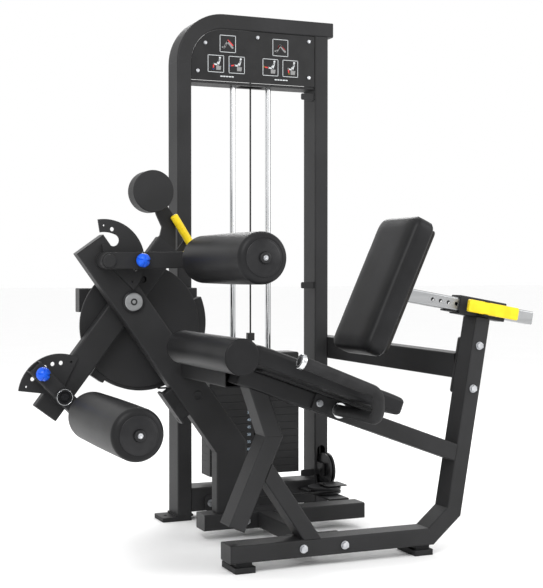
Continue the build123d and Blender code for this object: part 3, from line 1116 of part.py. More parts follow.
# ---- Handles -------------------------------------------------------------------------------------
COLLAR_R, COLLAR_L, MOUNT_T = 22.0, 10.0, 8.0
MOUNT_BOLT, MOUNT_BOLT_R = (HANDLE_X - 58, HANDLE_Z + 22), 5.0
handles, handle_chrome = [], []
seat_face = {1: SEAT_MID + TUBE_D / 2, -1: SEAT_MID - TUBE_D / 2}
for way in (-1, 1):
    face = seat_face[way]
    reach = (SEAT_FAR if way > 0 else SEAT_NEAR) + way * (HANDLE_GAP + HANDLE_R)
    points = [(HANDLE_X, face + way * MOUNT_T, HANDLE_Z), (HANDLE_X, reach, HANDLE_Z), (HANDLE_X, reach, HANDLE_Z + 70),
              (HANDLE_GRIP[0], reach, HANDLE_GRIP[1])]
    with BuildPart() as handle:
        with BuildLine() as handle_path:
            FilletPolyline(*[at(*point) for point in points], radius=(30, 33))
        with BuildSketch(Plane(origin=handle_path.line @ 0, z_dir=handle_path.line % 0)):
            Circle(HANDLE_R)
        sweep()
    handles.append(handle)
    tip, aim = handle_path.line @ 1, (handle_path.line % 1).normalized()
    with BuildPart() as tip_cap:
        add(round_bar(tip, tip + aim * 14, HANDLE_R + 4).part)
        fillet(tip_cap.faces().filter_by(GeomType.PLANE).edges(), 3)
    collar_span = sorted((face + way * MOUNT_T, face + way * (MOUNT_T + COLLAR_L)))
    collar = cross_bar((HANDLE_X, HANDLE_Z), *collar_span, COLLAR_R, HANDLE_R)
    handle_chrome.extend([tip_cap, collar])
    with BuildPart() as mount:
        with BuildSketch(Plane(origin=at(HANDLE_X - 27, face, HANDLE_Z + 11), x_dir=seat_dir, z_dir=(0, way, 0))):
            RectangleRounded(104, TUBE_W - 4, 5)
        extrude(amount=MOUNT_T)
    frame_plates.append(drilled(mount, [MOUNT_BOLT], MOUNT_BOLT_R, *sorted((face - way, face + 2 * way * MOUNT_T))))
group("handles", *handles)
group("handle_chrome", *handle_chrome)
group("frame_plates", *frame_plates)

# ---- End plugs and the sleeve's liner ------------------------------------------------------------
group("tube_end_plugs", sleeve_liner,
      end_plug(rail_start, Vector(-1, 0, 0), TUBE_D, TUBE_W),
      end_plug(at(MID_START + PLUG, mid_y, RAIL_Z), Vector(-1, 0, 0), TUBE_D, TUBE_W),
      end_plug(at(MID_END - PLUG, mid_y, RAIL_Z), Vector(1, 0, 0), TUBE_D, TUBE_W),
      end_plug(seat_start, -seat_dir, TUBE_D, TUBE_W),
      end_plug(strut_foot, -strut_dir, TUBE_D, TUBE_W),
      end_plug(mast_top, mast_up, MAST_D, MAST_W),
      end_plug(at(-240 + PLUG, support_y, SUPPORT_Z), Vector(-1, 0, 0), SUPPORT_D, SUPPORT_H),
      end_plug(at(BEAM_END - PLUG, STACK_Y, beam_z), Vector(1, 0, 0), TOWER_D, TOWER_W))

# ---- Bolts of the frame --------------------------------------------------------------------------
cross_bolts = [at(CROSS_X + way * BOLT_GAP / 2, 0, RAIL_Z) for way in (-1, 1)]
post_bolts = [post_turn + LEAN * (POST_FLANGE + way * BOLT_GAP / 2) - TOWARD_TOWER * (TUBE_D / 2) for way in (-1, 1)]
through = TUBE_D + WELD_PLATE + 1
group("frame_bolts",
      *[hex_bolt(point, TOWARD_TOWER, through) for point in cross_bolts + post_bolts],
      *[hex_bolt(Vector(point.X, Y0 + front_cross[1], point.Z), TOWARD_TOWER, WELD_PLATE + 12)
        for point in cross_bolts],
      *[hex_bolt(Vector(point.X, Y0 + rear_cross[0], point.Z), -TOWARD_TOWER, WELD_PLATE + 12)
        for point in cross_bolts],
      *[hex_bolt(Vector(point.X, Y0 + rear_cross[1], point.Z), TOWARD_TOWER, WELD_PLATE + 12)
        for point in cross_bolts],
      *[hex_bolt(at(MOUNT_BOLT[0], seat_face[way] + way * MOUNT_T, MOUNT_BOLT[1]), Vector(0, -way, 0), MOUNT_T, 5)
        for way in (-1, 1)])

# ---- Shroud brackets on the right column, and the spring pin's stub --------------------------------
SHROUD_GAP = 9.0     # between the weight plates and the brackets
shroud_reach = TOWER_RIGHT - (STACK_X + PLATE_L / 2) - SHROUD_GAP
for z in (1440.0, 786.0, 132.0):
    with BuildPart() as shroud_bracket:
        with BuildSketch(Plane(origin=at(TOWER_RIGHT - 3, TOWER_Y + 22, z), x_dir=(0, 1, 0), z_dir=(-1, 0, 0))):
            RectangleRounded(36, 22, 5)
        extrude(amount=-3)
        with BuildSketch(side(TOWER_Y + 6)):
            with Locations((TOWER_RIGHT - shroud_reach / 2, z)):
                RectangleRounded(shroud_reach, 22, 5)
        extrude(amount=-4)
    tower_fixings.append(shroud_bracket)
group("tower_fixings", *tower_fixings)
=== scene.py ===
import json
from math import atan2, cos, hypot, pi, radians, sin

import bmesh
import bpy
from mathutils import Matrix, Vector

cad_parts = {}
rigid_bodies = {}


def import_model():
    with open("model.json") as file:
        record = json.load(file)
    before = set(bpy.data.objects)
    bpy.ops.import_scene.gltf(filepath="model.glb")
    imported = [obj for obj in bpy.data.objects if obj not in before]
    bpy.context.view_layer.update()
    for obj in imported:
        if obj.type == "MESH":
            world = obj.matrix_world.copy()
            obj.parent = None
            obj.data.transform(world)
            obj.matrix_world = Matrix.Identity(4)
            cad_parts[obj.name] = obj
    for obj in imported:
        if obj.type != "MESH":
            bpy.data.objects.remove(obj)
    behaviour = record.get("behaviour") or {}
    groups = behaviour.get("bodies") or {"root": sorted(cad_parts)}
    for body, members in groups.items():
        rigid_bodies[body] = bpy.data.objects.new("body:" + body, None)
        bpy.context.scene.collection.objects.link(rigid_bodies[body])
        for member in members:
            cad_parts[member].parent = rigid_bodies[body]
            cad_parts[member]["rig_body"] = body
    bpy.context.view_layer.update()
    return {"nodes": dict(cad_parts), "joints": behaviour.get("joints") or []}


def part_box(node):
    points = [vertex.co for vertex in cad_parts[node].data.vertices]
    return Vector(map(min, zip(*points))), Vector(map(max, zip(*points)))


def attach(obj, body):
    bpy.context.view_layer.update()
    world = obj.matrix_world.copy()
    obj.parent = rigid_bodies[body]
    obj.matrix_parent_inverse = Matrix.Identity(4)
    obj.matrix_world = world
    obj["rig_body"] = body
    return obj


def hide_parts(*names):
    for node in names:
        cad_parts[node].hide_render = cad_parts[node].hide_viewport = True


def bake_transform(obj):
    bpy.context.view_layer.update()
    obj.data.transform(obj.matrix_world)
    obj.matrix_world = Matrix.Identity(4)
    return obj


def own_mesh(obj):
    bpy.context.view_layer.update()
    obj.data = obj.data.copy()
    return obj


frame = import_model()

# Metres in the row's frame.  Sizes and places are read from the CAD nodes and joints.
JOINTS = {joint["name"]: joint for joint in frame["joints"]}


# ---- Materials ------------------------------------------------------------------------------
def node_material(name, colour, roughness, metallic=0.0, specular=0.5):
    """A Principled material; returns it with its tree, its shader and a source of object coordinates."""
    material = bpy.data.materials.new(name)
    material.use_nodes = True
    tree = material.node_tree
    shader = tree.nodes["Principled BSDF"]
    shader.inputs["Base Color"].default_value = (*colour, 1)
    shader.inputs["Roughness"].default_value = roughness
    shader.inputs["Metallic"].default_value = metallic
    shader.inputs["Specular IOR Level"].default_value = specular
    return material, tree, shader, tree.nodes.new("ShaderNodeTexCoord")


def noise_texture(tree, coords, scale, detail=3.0, stretch=None):
    """Noise over the object's own coordinates, which may be stretched along an axis."""
    texture = tree.nodes.new("ShaderNodeTexNoise")
    texture.inputs["Scale"].default_value = scale
    texture.inputs["Detail"].default_value = detail
    source = coords.outputs["Object"]
    if stretch:
        mapping = tree.nodes.new("ShaderNodeMapping")
        mapping.inputs["Scale"].default_value = stretch
        tree.links.new(source, mapping.inputs["Vector"])
        source = mapping.outputs["Vector"]
    tree.links.new(source, texture.inputs["Vector"])
    return texture


def vary_colour(tree, shader, texture, dark, light, low=0.35, high=0.65):
    """Base colour runs from dark to light with the texture."""
    ramp = tree.nodes.new("ShaderNodeValToRGB")
    ramp.color_ramp.elements[0].position = low
    ramp.color_ramp.elements[1].position = high
    ramp.color_ramp.elements[0].color = (*dark, 1)
    ramp.color_ramp.elements[1].color = (*light, 1)
    tree.links.new(texture.outputs[0], ramp.inputs["Fac"])
    tree.links.new(ramp.outputs["Color"], shader.inputs["Base Color"])
    return ramp


def vary_roughness(tree, shader, texture, low, high):
    span = tree.nodes.new("ShaderNodeMapRange")
    span.inputs["To Min"].default_value = low
    span.inputs["To Max"].default_value = high
    tree.links.new(texture.outputs[0], span.inputs["Value"])
    tree.links.new(span.outputs["Result"], shader.inputs["Roughness"])


def add_bump(tree, shader, texture, strength, distance, edge=0.0):
    """Bump from the texture; edge is the radius that the shading rounds sharp edges to."""
    bump = tree.nodes.new("ShaderNodeBump")
    bump.inputs["Strength"].default_value = strength
    bump.inputs["Distance"].default_value = distance
    tree.links.new(texture.outputs[0], bump.inputs["Height"])
    if edge:
        bevel = tree.nodes.new("ShaderNodeBevel")
        bevel.samples = 4
        bevel.inputs["Radius"].default_value = edge
        tree.links.new(bevel.outputs["Normal"], bump.inputs["Normal"])
    tree.links.new(bump.outputs["Normal"], shader.inputs["Normal"])


def powder_coat(name, dark, light, roughness=(0.42, 0.6), grain=1500.0):
    """Textured powder coat: fine orange peel, slow patches of tone, soft bright edges."""
    material, tree, shader, coords = node_material(name, light, roughness[0], specular=0.22)
    patches = noise_texture(tree, coords, 7.0, 5.0)
    vary_colour(tree, shader, patches, dark, light)
    fine = noise_texture(tree, coords, grain, 2.0)
    vary_roughness(tree, shader, fine, *roughness)
    add_bump(tree, shader, fine, 0.35, 0.0004, edge=0.0022)
    return material


def leatherette():
    """Black upholstery vinyl: pebbled grain and soft highlights."""
    material, tree, shader, coords = node_material("leatherette", (0.013, 0.013, 0.014), 0.42, specular=0.15)
    patches = noise_texture(tree, coords, 9.0, 4.0)
    vary_colour(tree, shader, patches, (0.009, 0.009, 0.0095), (0.014, 0.014, 0.015))
    pebbles = tree.nodes.new("ShaderNodeTexVoronoi")
    pebbles.feature = "SMOOTH_F1"
    pebbles.inputs["Scale"].default_value = 620.0
    tree.links.new(coords.outputs["Object"], pebbles.inputs["Vector"])
    vary_roughness(tree, shader, pebbles, 0.36, 0.5)
    add_bump(tree, shader, pebbles, 0.22, 0.0004)
    return material


def brushed_metal(name, dark, light, roughness, stretch):
    """Bright steel with fine drawn lines along one direction."""
    material, tree, shader, coords = node_material(name, light, roughness[0], 1.0)
    lines = noise_texture(tree, coords, 60.0, 4.0, stretch)
    vary_colour(tree, shader, lines, dark, light)
    vary_roughness(tree, shader, lines, *roughness)
    add_bump(tree, shader, lines, 0.08, 0.0002, edge=0.0008)
    return material


def moulded(name, dark, light, roughness=(0.3, 0.42), grain=900.0, bump=0.12):
    """Moulded plastic or rubber: fine spark grain and slight mottling."""
    material, tree, shader, coords = node_material(name, light, roughness[0], specular=0.2)
    patches = noise_texture(tree, coords, 25.0, 3.0)
    vary_colour(tree, shader, patches, dark, light)
    fine = noise_texture(tree, coords, grain, 2.0)
    vary_roughness(tree, shader, fine, *roughness)
    add_bump(tree, shader, fine, bump, 0.0004, edge=0.0008)
    return material


def print_ink(name, colour):
    """Screen-printed ink, slightly uneven."""
    material, tree, shader, coords = node_material(name, colour, 0.45)
    patches = noise_texture(tree, coords, 300.0, 2.0)
    vary_colour(tree, shader, patches, [0.88 * part for part in colour], colour)
    add_bump(tree, shader, patches, 0.05, 0.0001)
    return material


PAINT = powder_coat("powder_coat", (0.0155, 0.0155, 0.016), (0.0205, 0.0205, 0.0215))
CAST = powder_coat("cast_plate_paint", (0.012, 0.012, 0.0125), (0.019, 0.019, 0.0195), (0.38, 0.55), 500.0)
VINYL = leatherette()
CHROME = brushed_metal("chrome", (0.62, 0.63, 0.64), (0.80, 0.81, 0.82), (0.08, 0.2), (1, 1, 0.05))
SATIN = brushed_metal("satin_steel", (0.29, 0.295, 0.30), (0.36, 0.365, 0.37), (0.3, 0.42), (0.05, 1, 1))
ZINC = brushed_metal("zinc_plate", (0.42, 0.43, 0.45), (0.6, 0.61, 0.63), (0.25, 0.4), (1, 1, 1))
BLACK_PLASTIC = moulded("black_plastic", (0.011, 0.011, 0.012), (0.018, 0.018, 0.019))
RUBBER = moulded("black_rubber", (0.012, 0.012, 0.0125), (0.019, 0.019, 0.02), (0.5, 0.66), 650.0, 0.3)
BLUE = moulded("blue_plastic", (0.006, 0.07, 0.52), (0.012, 0.11, 0.72), (0.2, 0.3))
YELLOW = moulded("yellow_plastic", (0.72, 0.52, 0.012), (0.82, 0.62, 0.02), (0.32, 0.45), 700.0, 0.2)
PLY = moulded("board_edge", (0.012, 0.0115, 0.011), (0.026, 0.024, 0.022), (0.55, 0.7), 120.0, 0.3)
SHEET = moulded("placard_sheet", (0.012, 0.012, 0.0125), (0.016, 0.016, 0.0165), (0.35, 0.45), 400.0, 0.05)
JACKET = moulded("cable_jacket", (0.008, 0.008, 0.008), (0.014, 0.014, 0.014), (0.25, 0.4), 2500.0, 0.3)
WHITE_INK = print_ink("white_ink", (0.55, 0.57, 0.58))
GREY_INK = print_ink("grey_ink", (0.22, 0.22, 0.22))
RED_INK = print_ink("red_ink", (0.62, 0.03, 0.03))
BLUE_INK = print_ink("blue_ink", (0.03, 0.16, 0.62))
YELLOW_INK = print_ink("yellow_ink", (0.62, 0.5, 0.03))
LABEL_INK = print_ink("label_ink", (0.42, 0.52, 0.62))

NODE_MATERIALS = {
    PAINT: ["front_frame", "seat_tube", "seat_struts", "base_rails", "frame_plates", "cross_links", "mast",
            "tower_bent_tube", "tower_right_column", "tower_bottom_beam", "cam_disc", "cam_rim",
            "lever_tube", "lower_sector_plate", "upper_sector_plate", "lower_bracket", "upper_arm",
            "counterweight", "pulley_brackets", "slide_sleeve", "tower_fixings"],
    CAST: ["resting_plates", "lifted_plates", "head_plate"],
    CHROME: ["guide_rods", "handle_chrome"],
    SATIN: ["slide_tube", "pivot_axles"],
    ZINC: ["frame_bolts", "lower_roller_axle", "upper_roller_axle", "lock_pin"],
    RUBBER: ["handles", "machine_feet", "rubber_stops"],
    BLACK_PLASTIC: ["tube_end_plugs", "lower_roller_hub", "upper_roller_hub", "stack_pulley",
                    "column_top_pulley", "column_low_pulley", "turn_pulley", "base_pulley", "guide_pulley",
                    "lower_pivot", "start_pin"],
    YELLOW: ["release_grip", "lock_lever", "selector_pin"],
    BLUE: ["lower_pull_knob", "upper_pull_knob"],
    PLY: ["backrest_board"],
    SHEET: ["placard"],
    JACKET: ["cable_fixed_run", "cable_cam_run", "cable_stack_run"],
}


def paint_nodes():
    """Each CAD node gets its material."""
    for material, names in NODE_MATERIALS.items():
        for name in names:
            node = frame["nodes"][name]
            node.data.materials.clear()
            node.data.materials.append(material)


def paint_faces(name, material, inside):
    """The faces of a CAD node whose centre passes the test get a second material."""
    mesh = frame["nodes"][name].data
    mesh.materials.append(material)
    for face in mesh.polygons:
        if inside(face.center):
            face.material_index = len(mesh.materials) - 1


def paint_details():
    """Bright screws on the placard, and a black cap on the thigh arm's pivot."""
    sheet_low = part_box("placard")[0]
    paint_faces("tower_fixings", ZINC, lambda face: face.y < sheet_low.y + 0.0002 and face.z > sheet_low.z)
    pivot = Vector(JOINTS["thigh_adjust"]["pos_m"])
    paint_faces("pivot_axles", PAINT, lambda face: hypot(face.x - pivot.x, face.z - pivot.z) < 0.025)


# ---- Mesh helpers ---------------------------------------------------------------------------
def finish_piece(name, mesh_data, material, body, smooth=True):
    """Wraps a bmesh as a piece that rides on a body."""
    mesh = bpy.data.meshes.new(name)
    mesh_data.normal_update()
    mesh_data.to_mesh(mesh)
    mesh_data.free()
    mesh.materials.append(material)
    if smooth:
        mesh.shade_smooth()
    piece = bpy.data.objects.new(name, mesh)
    bpy.context.scene.collection.objects.link(piece)
    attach(piece, body)
    return piece


def lathe(profile, origin, steps=96, modulate=None):
    """A turned form along +Y: profile points are (distance along Y, radius); closed at both ends."""
    built = bmesh.new()
    rings = []
    for along, radius in profile:
        if radius < 1e-6:
            rings.append([built.verts.new(origin + Vector((0, along, 0)))])
            continue
        ring = []
        for step in range(steps):
            angle = 2 * pi * step / steps
            reach = radius * (modulate(angle, along) if modulate else 1.0)
            ring.append(built.verts.new(origin + Vector((reach * cos(angle), along, reach * sin(angle)))))
        rings.append(ring)
    for first, second in zip(rings, rings[1:]):
        for step in range(steps):
            following = (step + 1) % steps
            corners = [first[step % len(first)], first[following % len(first)],
                       second[following % len(second)], second[step % len(second)]]
            unique = list(dict.fromkeys(corners))
            if len(unique) > 2:
                built.faces.new(unique)
    bmesh.ops.recalc_face_normals(built, faces=built.faces)
    return built


def arc_profile(centre_along, centre_radius, radius, start, stop, steps=8):
    """Profile points along a round, for lathe()."""
    angles = [radians(start + (stop - start) * i / steps) for i in range(steps + 1)]
    return [(centre_along + radius * cos(angle), centre_radius + radius * sin(angle)) for angle in angles]


def apply_modifiers(piece):
    """Replaces the piece's mesh by its modified mesh."""
    graph = bpy.context.evaluated_depsgraph_get()
    mesh = bpy.data.meshes.new_from_object(piece.evaluated_get(graph))
    piece.modifiers.clear()
    piece.data = mesh


def spread(mesh, values, passes=20):
    """Each value is averaged with its neighbours' values, so that cloth stays taut without wrinkles."""
    around = [[] for value in values]
    for edge in mesh.edges:
        first, second = edge.vertices
        around[first].append(second)
        around[second].append(first)
    for _ in range(passes):
        values = [(value + sum(values[other] for other in near)) / (1 + len(near))
                  for value, near in zip(values, around)]
    return values


def on_surface(piece, points):
    """The points moved to the piece's surface."""
    return [piece.closest_point_on_mesh(point)[1] for point in points]


CLOTH_FRAMES = 16


def inflate(piece, voxel, cap, pressure=4.0, pinned=None):
    """Cloth with pressure swells a remeshed cushion.  Only the outward part of each point's move is
    kept, up to cap, and pinned holds the cushion's back."""
    remesh = piece.modifiers.new("remesh", "REMESH")
    remesh.mode = "VOXEL"
    remesh.voxel_size = voxel
    apply_modifiers(piece)
    rest = [vertex.co.copy() for vertex in piece.data.vertices]
    outward = [vertex.normal.copy() for vertex in piece.data.vertices]
    cloth = piece.modifiers.new("cloth", "CLOTH")
    cloth.settings.use_pressure = True
    cloth.settings.uniform_pressure_force = pressure
    cloth.settings.effector_weights.gravity = 0.0
    cloth.settings.quality = 4
    cloth.point_cache.frame_start, cloth.point_cache.frame_end = 1, CLOTH_FRAMES
    for step in range(1, CLOTH_FRAMES + 1):
        bpy.context.scene.frame_set(step)
    apply_modifiers(piece)
    bpy.context.scene.frame_set(1)
    moves = [max(0.0, min(cap, (vertex.co - start).dot(normal))) * (pinned(start) if pinned else 1.0)
             for vertex, start, normal in zip(piece.data.vertices, rest, outward)]
    moves = spread(piece.data, moves)
    for vertex, start, normal, move in zip(piece.data.vertices, rest, outward, moves):
        vertex.co = start + normal * move
    smooth = piece.modifiers.new("smooth", "SMOOTH")
    smooth.factor, smooth.iterations = 0.5, 4
    subdivide = piece.modifiers.new("subdivide", "SUBSURF")
    subdivide.levels = subdivide.render_levels = 1
    apply_modifiers(piece)
    piece.data.shade_smooth()


def rounded_outline(wide, high, radius, steps=8):
    """Corner-rounded rectangle, counter-clockwise, about the origin."""
    points = []
    for quarter, (sx, sy) in enumerate(((1, 1), (-1, 1), (-1, -1), (1, -1))):
        for i in range(steps + 1):
            angle = radians(90 * quarter + 90 * i / steps)
            points.append((sx * (wide / 2 - radius) + radius * cos(angle),
                           sy * (high / 2 - radius) + radius * sin(angle)))
    return points


def pad_form(long, wide, thick, corner, edge, inset, place):
    """A closed pad: a rounded outline whose front and back edges are rounded, placed by a matrix."""
    built = bmesh.new()
    layers = []
    for i in range(7):
        angle = radians(90 * i / 6)
        layers.append((edge * (1 - sin(angle)), edge * (1 - cos(angle))))
    levels = [(depth, pull) for pull, depth in layers]
    levels += [(thick - depth, pull) for pull, depth in reversed(layers)]
    rings = []
    for depth, pull in levels:
        outline = rounded_outline(long - 2 * (pull + inset), wide - 2 * (pull + inset), corner - pull * 0.6)
        rings.append([built.verts.new(place @ Vector((x, y, depth))) for x, y in outline])
    count = len(rings[0])
    for first, second in zip(rings, rings[1:]):
        for step in range(count):
            after = (step + 1) % count
            built.faces.new([first[step], first[after], second[after], second[step]])
    built.faces.new(list(reversed(rings[0])))
    built.faces.new(rings[-1])
    bmesh.ops.recalc_face_normals(built, faces=built.faces)
    return built


def tube_along(name, points, radius, material, body, closed=False):
    """A round bead along points, as a mesh."""
    curve = bpy.data.curves.new(name, "CURVE")
    curve.dimensions = "3D"
    curve.bevel_depth = radius
    curve.bevel_resolution = 3
    spline = curve.splines.new("POLY")
    spline.points.add(len(points) - 1)
    for target, point in zip(spline.points, points):
        target.co = (*point, 1)
    spline.use_cyclic_u = closed
    holder = bpy.data.objects.new(name + "_curve", curve)
    mesh = bpy.data.meshes.new_from_object(holder)
    mesh.name = name
    bpy.data.objects.remove(holder)
    mesh.materials.clear()
    mesh.materials.append(material)
    mesh.shade_smooth()
    piece = bpy.data.objects.new(name, mesh)
    bpy.context.scene.collection.objects.link(piece)
    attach(piece, body)
    return piece


# ---- Upholstery -----------------------------------------------------------------------------
BACK_TILT, SEAT_SLOPE = radians(24.5), radians(20.1)
BACK_SIZE, BACK_CORNER, BACK_EDGE = (0.424, 0.240, 0.068), 0.030, 0.016
SEAM_R = 0.0016


def backrest():
    """The backrest's pad, crowned by cloth pressure, with a piped seam round its back edge."""
    low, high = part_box("backrest_pad")
    centre = (low + high) / 2
    up = Vector((sin(BACK_TILT), 0, cos(BACK_TILT)))
    out = Vector((cos(BACK_TILT), 0, -sin(BACK_TILT)))
    across = Vector((0, 1, 0))
    face = centre - out * (BACK_SIZE[2] / 2)
    place = Matrix.Translation(face) @ Matrix((up, across, out)).transposed().to_4x4()
    cap, inset = 0.006, 0.003
    form = pad_form(BACK_SIZE[0], BACK_SIZE[1], BACK_SIZE[2] - 0.001, BACK_CORNER, BACK_EDGE, inset, place)
    pad = finish_piece("backrest_cushion", form, VINYL, "backrest")
    back = centre + out * (BACK_SIZE[2] / 2)

    def hold(point):
        return min(1.0, max(0.0, (back - point).dot(out) / 0.02))

    inflate(pad, voxel=0.005, cap=cap, pinned=hold)
    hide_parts("backrest_pad")
    for label, depth in (("front", 0.012), ("rear", BACK_SIZE[2] - 0.012)):
        outline = rounded_outline(BACK_SIZE[0] - 0.002, BACK_SIZE[1] - 0.002, BACK_CORNER - 0.001)
        line = on_surface(pad, [place @ Vector((x, y, depth)) for x, y in outline])
        tube_along(f"backrest_seam_{label}", line, SEAM_R * 0.6, VINYL, "backrest",
                   closed=True)


def seat():
    """The seat: a firm front roll with sewn round ends, and a crowned pad behind it."""
    low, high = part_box("seat_cushion")
    roll_r = 0.0485
    middle = Vector((low.x + roll_r, low.y, high.z - roll_r))
    length = high.y - low.y
    edge = 0.006
    profile = [(0.0012, 0), (0.0006, roll_r * 0.5), (0.0, roll_r - edge - 0.002)]
    profile += arc_profile(edge, roll_r - edge, edge, 180, 90)
    profile += [(length * i / 12, roll_r) for i in range(1, 12)]
    profile += arc_profile(length - edge, roll_r - edge, edge, 90, 0)
    profile += [(length - 0.0006, roll_r * 0.5), (length - 0.0012, 0)]
    roll = finish_piece("seat_roll", lathe(profile, middle), VINYL, "frame")
    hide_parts("seat_cushion")
    for label, along in (("near", 0.003), ("far", length - 0.003)):
        ring = [middle + Vector(((roll_r - 0.0006) * cos(2 * pi * i / 96), along,
                                 (roll_r - 0.0006) * sin(2 * pi * i / 96))) for i in range(96)]
        tube_along(f"seat_roll_seam_{label}", ring, SEAM_R * 0.7, VINYL, "frame", closed=True)
    ahead = Vector((cos(SEAT_SLOPE), 0, -sin(SEAT_SLOPE)))
    up = Vector((sin(SEAT_SLOPE), 0, cos(SEAT_SLOPE)))
    across = Vector((0, 1, 0))
    thick = 0.051
    # the pad's rear lower edge is the cushion's lowest edge, and its rear upper edge the furthest in X
    rear_low = Vector((high.x - up.x * thick, (low.y + high.y) / 2, low.z))
    start_x = middle.x + 0.020
    long = (rear_low.x - start_x) / ahead.x
    centre = rear_low - ahead * (long / 2)
    place = Matrix.Translation(centre) @ Matrix((ahead, across, up)).transposed().to_4x4()
    form = pad_form(long - 0.002, length - 0.002, thick - 0.002, 0.012, 0.010, 0.002, place)
    pad = finish_piece("seat_pad", form, VINYL, "frame")

    def hold(point):
        return min(1.0, max(0.0, (point - centre).dot(up) / 0.02))

    inflate(pad, voxel=0.006, cap=0.005, pinned=hold)
    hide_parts("seat_cushion")
    for label, depth in (("lower", 0.012), ("upper", thick - 0.011)):
        outline = rounded_outline(long - 0.003, length - 0.003, 0.012)
        line = on_surface(pad, [place @ Vector((x, y, depth)) for x, y in outline])
        tube_along(f"seat_seam_{label}", line, SEAM_R * 0.6, VINYL, "frame", closed=True)


ROLLER_R, ROLLER_ROUND, CAP_R = 0.070, 0.018, 0.053


def roller(arm, body):
    """A foam roller in its cover, with domed end caps that hold the cover in."""
    low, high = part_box(f"{arm}_roller_pad")
    axis = Vector(((low.x + high.x) / 2, low.y, (low.z + high.z) / 2))
    length = high.y - low.y
    swell = 0.0012
    profile = [(0.0, CAP_R - 0.006), (0.0, CAP_R - 0.002)]
    profile += arc_profile(ROLLER_ROUND, ROLLER_R - ROLLER_ROUND, ROLLER_ROUND, 180, 90, 14)
    profile += [(ROLLER_ROUND + (length - 2 * ROLLER_ROUND) * i / 24, ROLLER_R + swell * sin(pi * i / 24))
                for i in range(1, 24)]
    profile += arc_profile(length - ROLLER_ROUND, ROLLER_R - ROLLER_ROUND, ROLLER_ROUND, 90, 0, 14)
    profile += [(length, CAP_R - 0.002), (length, CAP_R - 0.006)]
    pad = finish_piece(f"{arm}_roller_cover", lathe(profile, axis, 128), VINYL, body)
    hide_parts(f"{arm}_roller_pad")
    for label, start, way in (("near", axis, -1), ("far", axis + Vector((0, length, 0)), 1)):
        dome = [(0.010, 0.015), (0.010, CAP_R - 0.003), (0.0, CAP_R - 0.002), (-0.0018, CAP_R - 0.0025),
                (-0.0022, CAP_R - 0.0045), (-0.0015, CAP_R - 0.006)]
        dome += [(-0.0018 - 0.0040 * sin(pi / 2 * i / 10), CAP_R - 0.0065 - 0.0315 * i / 10)
                 for i in range(11)]
        dome += [(-0.0045, 0.0140), (-0.001, 0.0138), (0.010, 0.0138)]
        turned = [(along * (-way), radius) for along, radius in dome]
        form = lathe(turned, start, 96)
        cap = finish_piece(f"{arm}_roller_cap_{label}", form, BLACK_PLASTIC, body)
        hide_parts(f"{arm}_roller_hub")


def roller_bolt(arm, body):
    """A dark cup washer and a small bright bolt in the middle of the near cap."""
    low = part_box(f"{arm}_roller_axle")[0]
    spin = Vector(JOINTS[f"{arm}_roller_spin"]["pos_m"])
    tip = Vector((spin.x, low.y, spin.z))
    cup = [(0.008, 0.0152), (0.0005, 0.0148), (-0.0008, 0.0135), (-0.0008, 0.0075), (0.0004, 0.0068),
           (0.0004, 0.0), (0.008, 0.0)]
    finish_piece(f"{arm}_roller_washer", lathe(cup, tip, 48), BLACK_PLASTIC, body)
    head = [(0.0004, 0.0058), (-0.0018, 0.0056), (-0.0024, 0.0046), (-0.0024, 0.0026),
            (-0.0010, 0.0024), (-0.0010, 0.0)]
    finish_piece(f"{arm}_roller_screw", lathe(head, tip, 32), ZINC, body)


# ---- Knobs ----------------------------------------------------------------------------------
def pull_knob(arm):
    """A ball knob with four finger notches, on its plunger."""
    low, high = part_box(f"{arm}_pull_knob")
    axis = Vector(((low.x + high.x) / 2, low.y, (low.z + high.z) / 2))
    ball = 0.021
    notches = 4

    def notch(angle, along):
        depth = max(0.0, 1 - along / (1.25 * ball))
        return 1 - 0.5 * depth * max(0.0, cos(notches * angle + 0.6)) ** 5

    profile = [(0.0, 0.0), (0.0005, 0.005)]
    profile += [(ball - ball * cos(radians(a)), ball * sin(radians(a))) for a in range(24, 150, 6)]
    profile += [(2 * ball - 0.004, 0.0105), (2 * ball - 0.0105, 0.0100), (2 * ball - 0.009, 0.0)]
    profile = [(min(along, 0.0325), radius) for along, radius in profile]
    form = lathe(profile, axis, 120, notch)
    knob = finish_piece(f"{arm}_knob_ball", form, BLUE, f"{arm}_knob")
    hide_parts(f"{arm}_pull_knob")
    stem = [(0.028, 0.0), (0.028, 0.0095), (0.0315, 0.0105), (0.034, 0.0105), (0.034, 0.005),
            (high.y - low.y - 0.001, 0.005), (high.y - low.y, 0.0042), (high.y - low.y, 0.0)]
    form = lathe(stem, axis, 32)
    pin = finish_piece(f"{arm}_knob_stem", form, ZINC, f"{arm}_knob", smooth=False)
    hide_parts(f"{arm}_pull_knob")


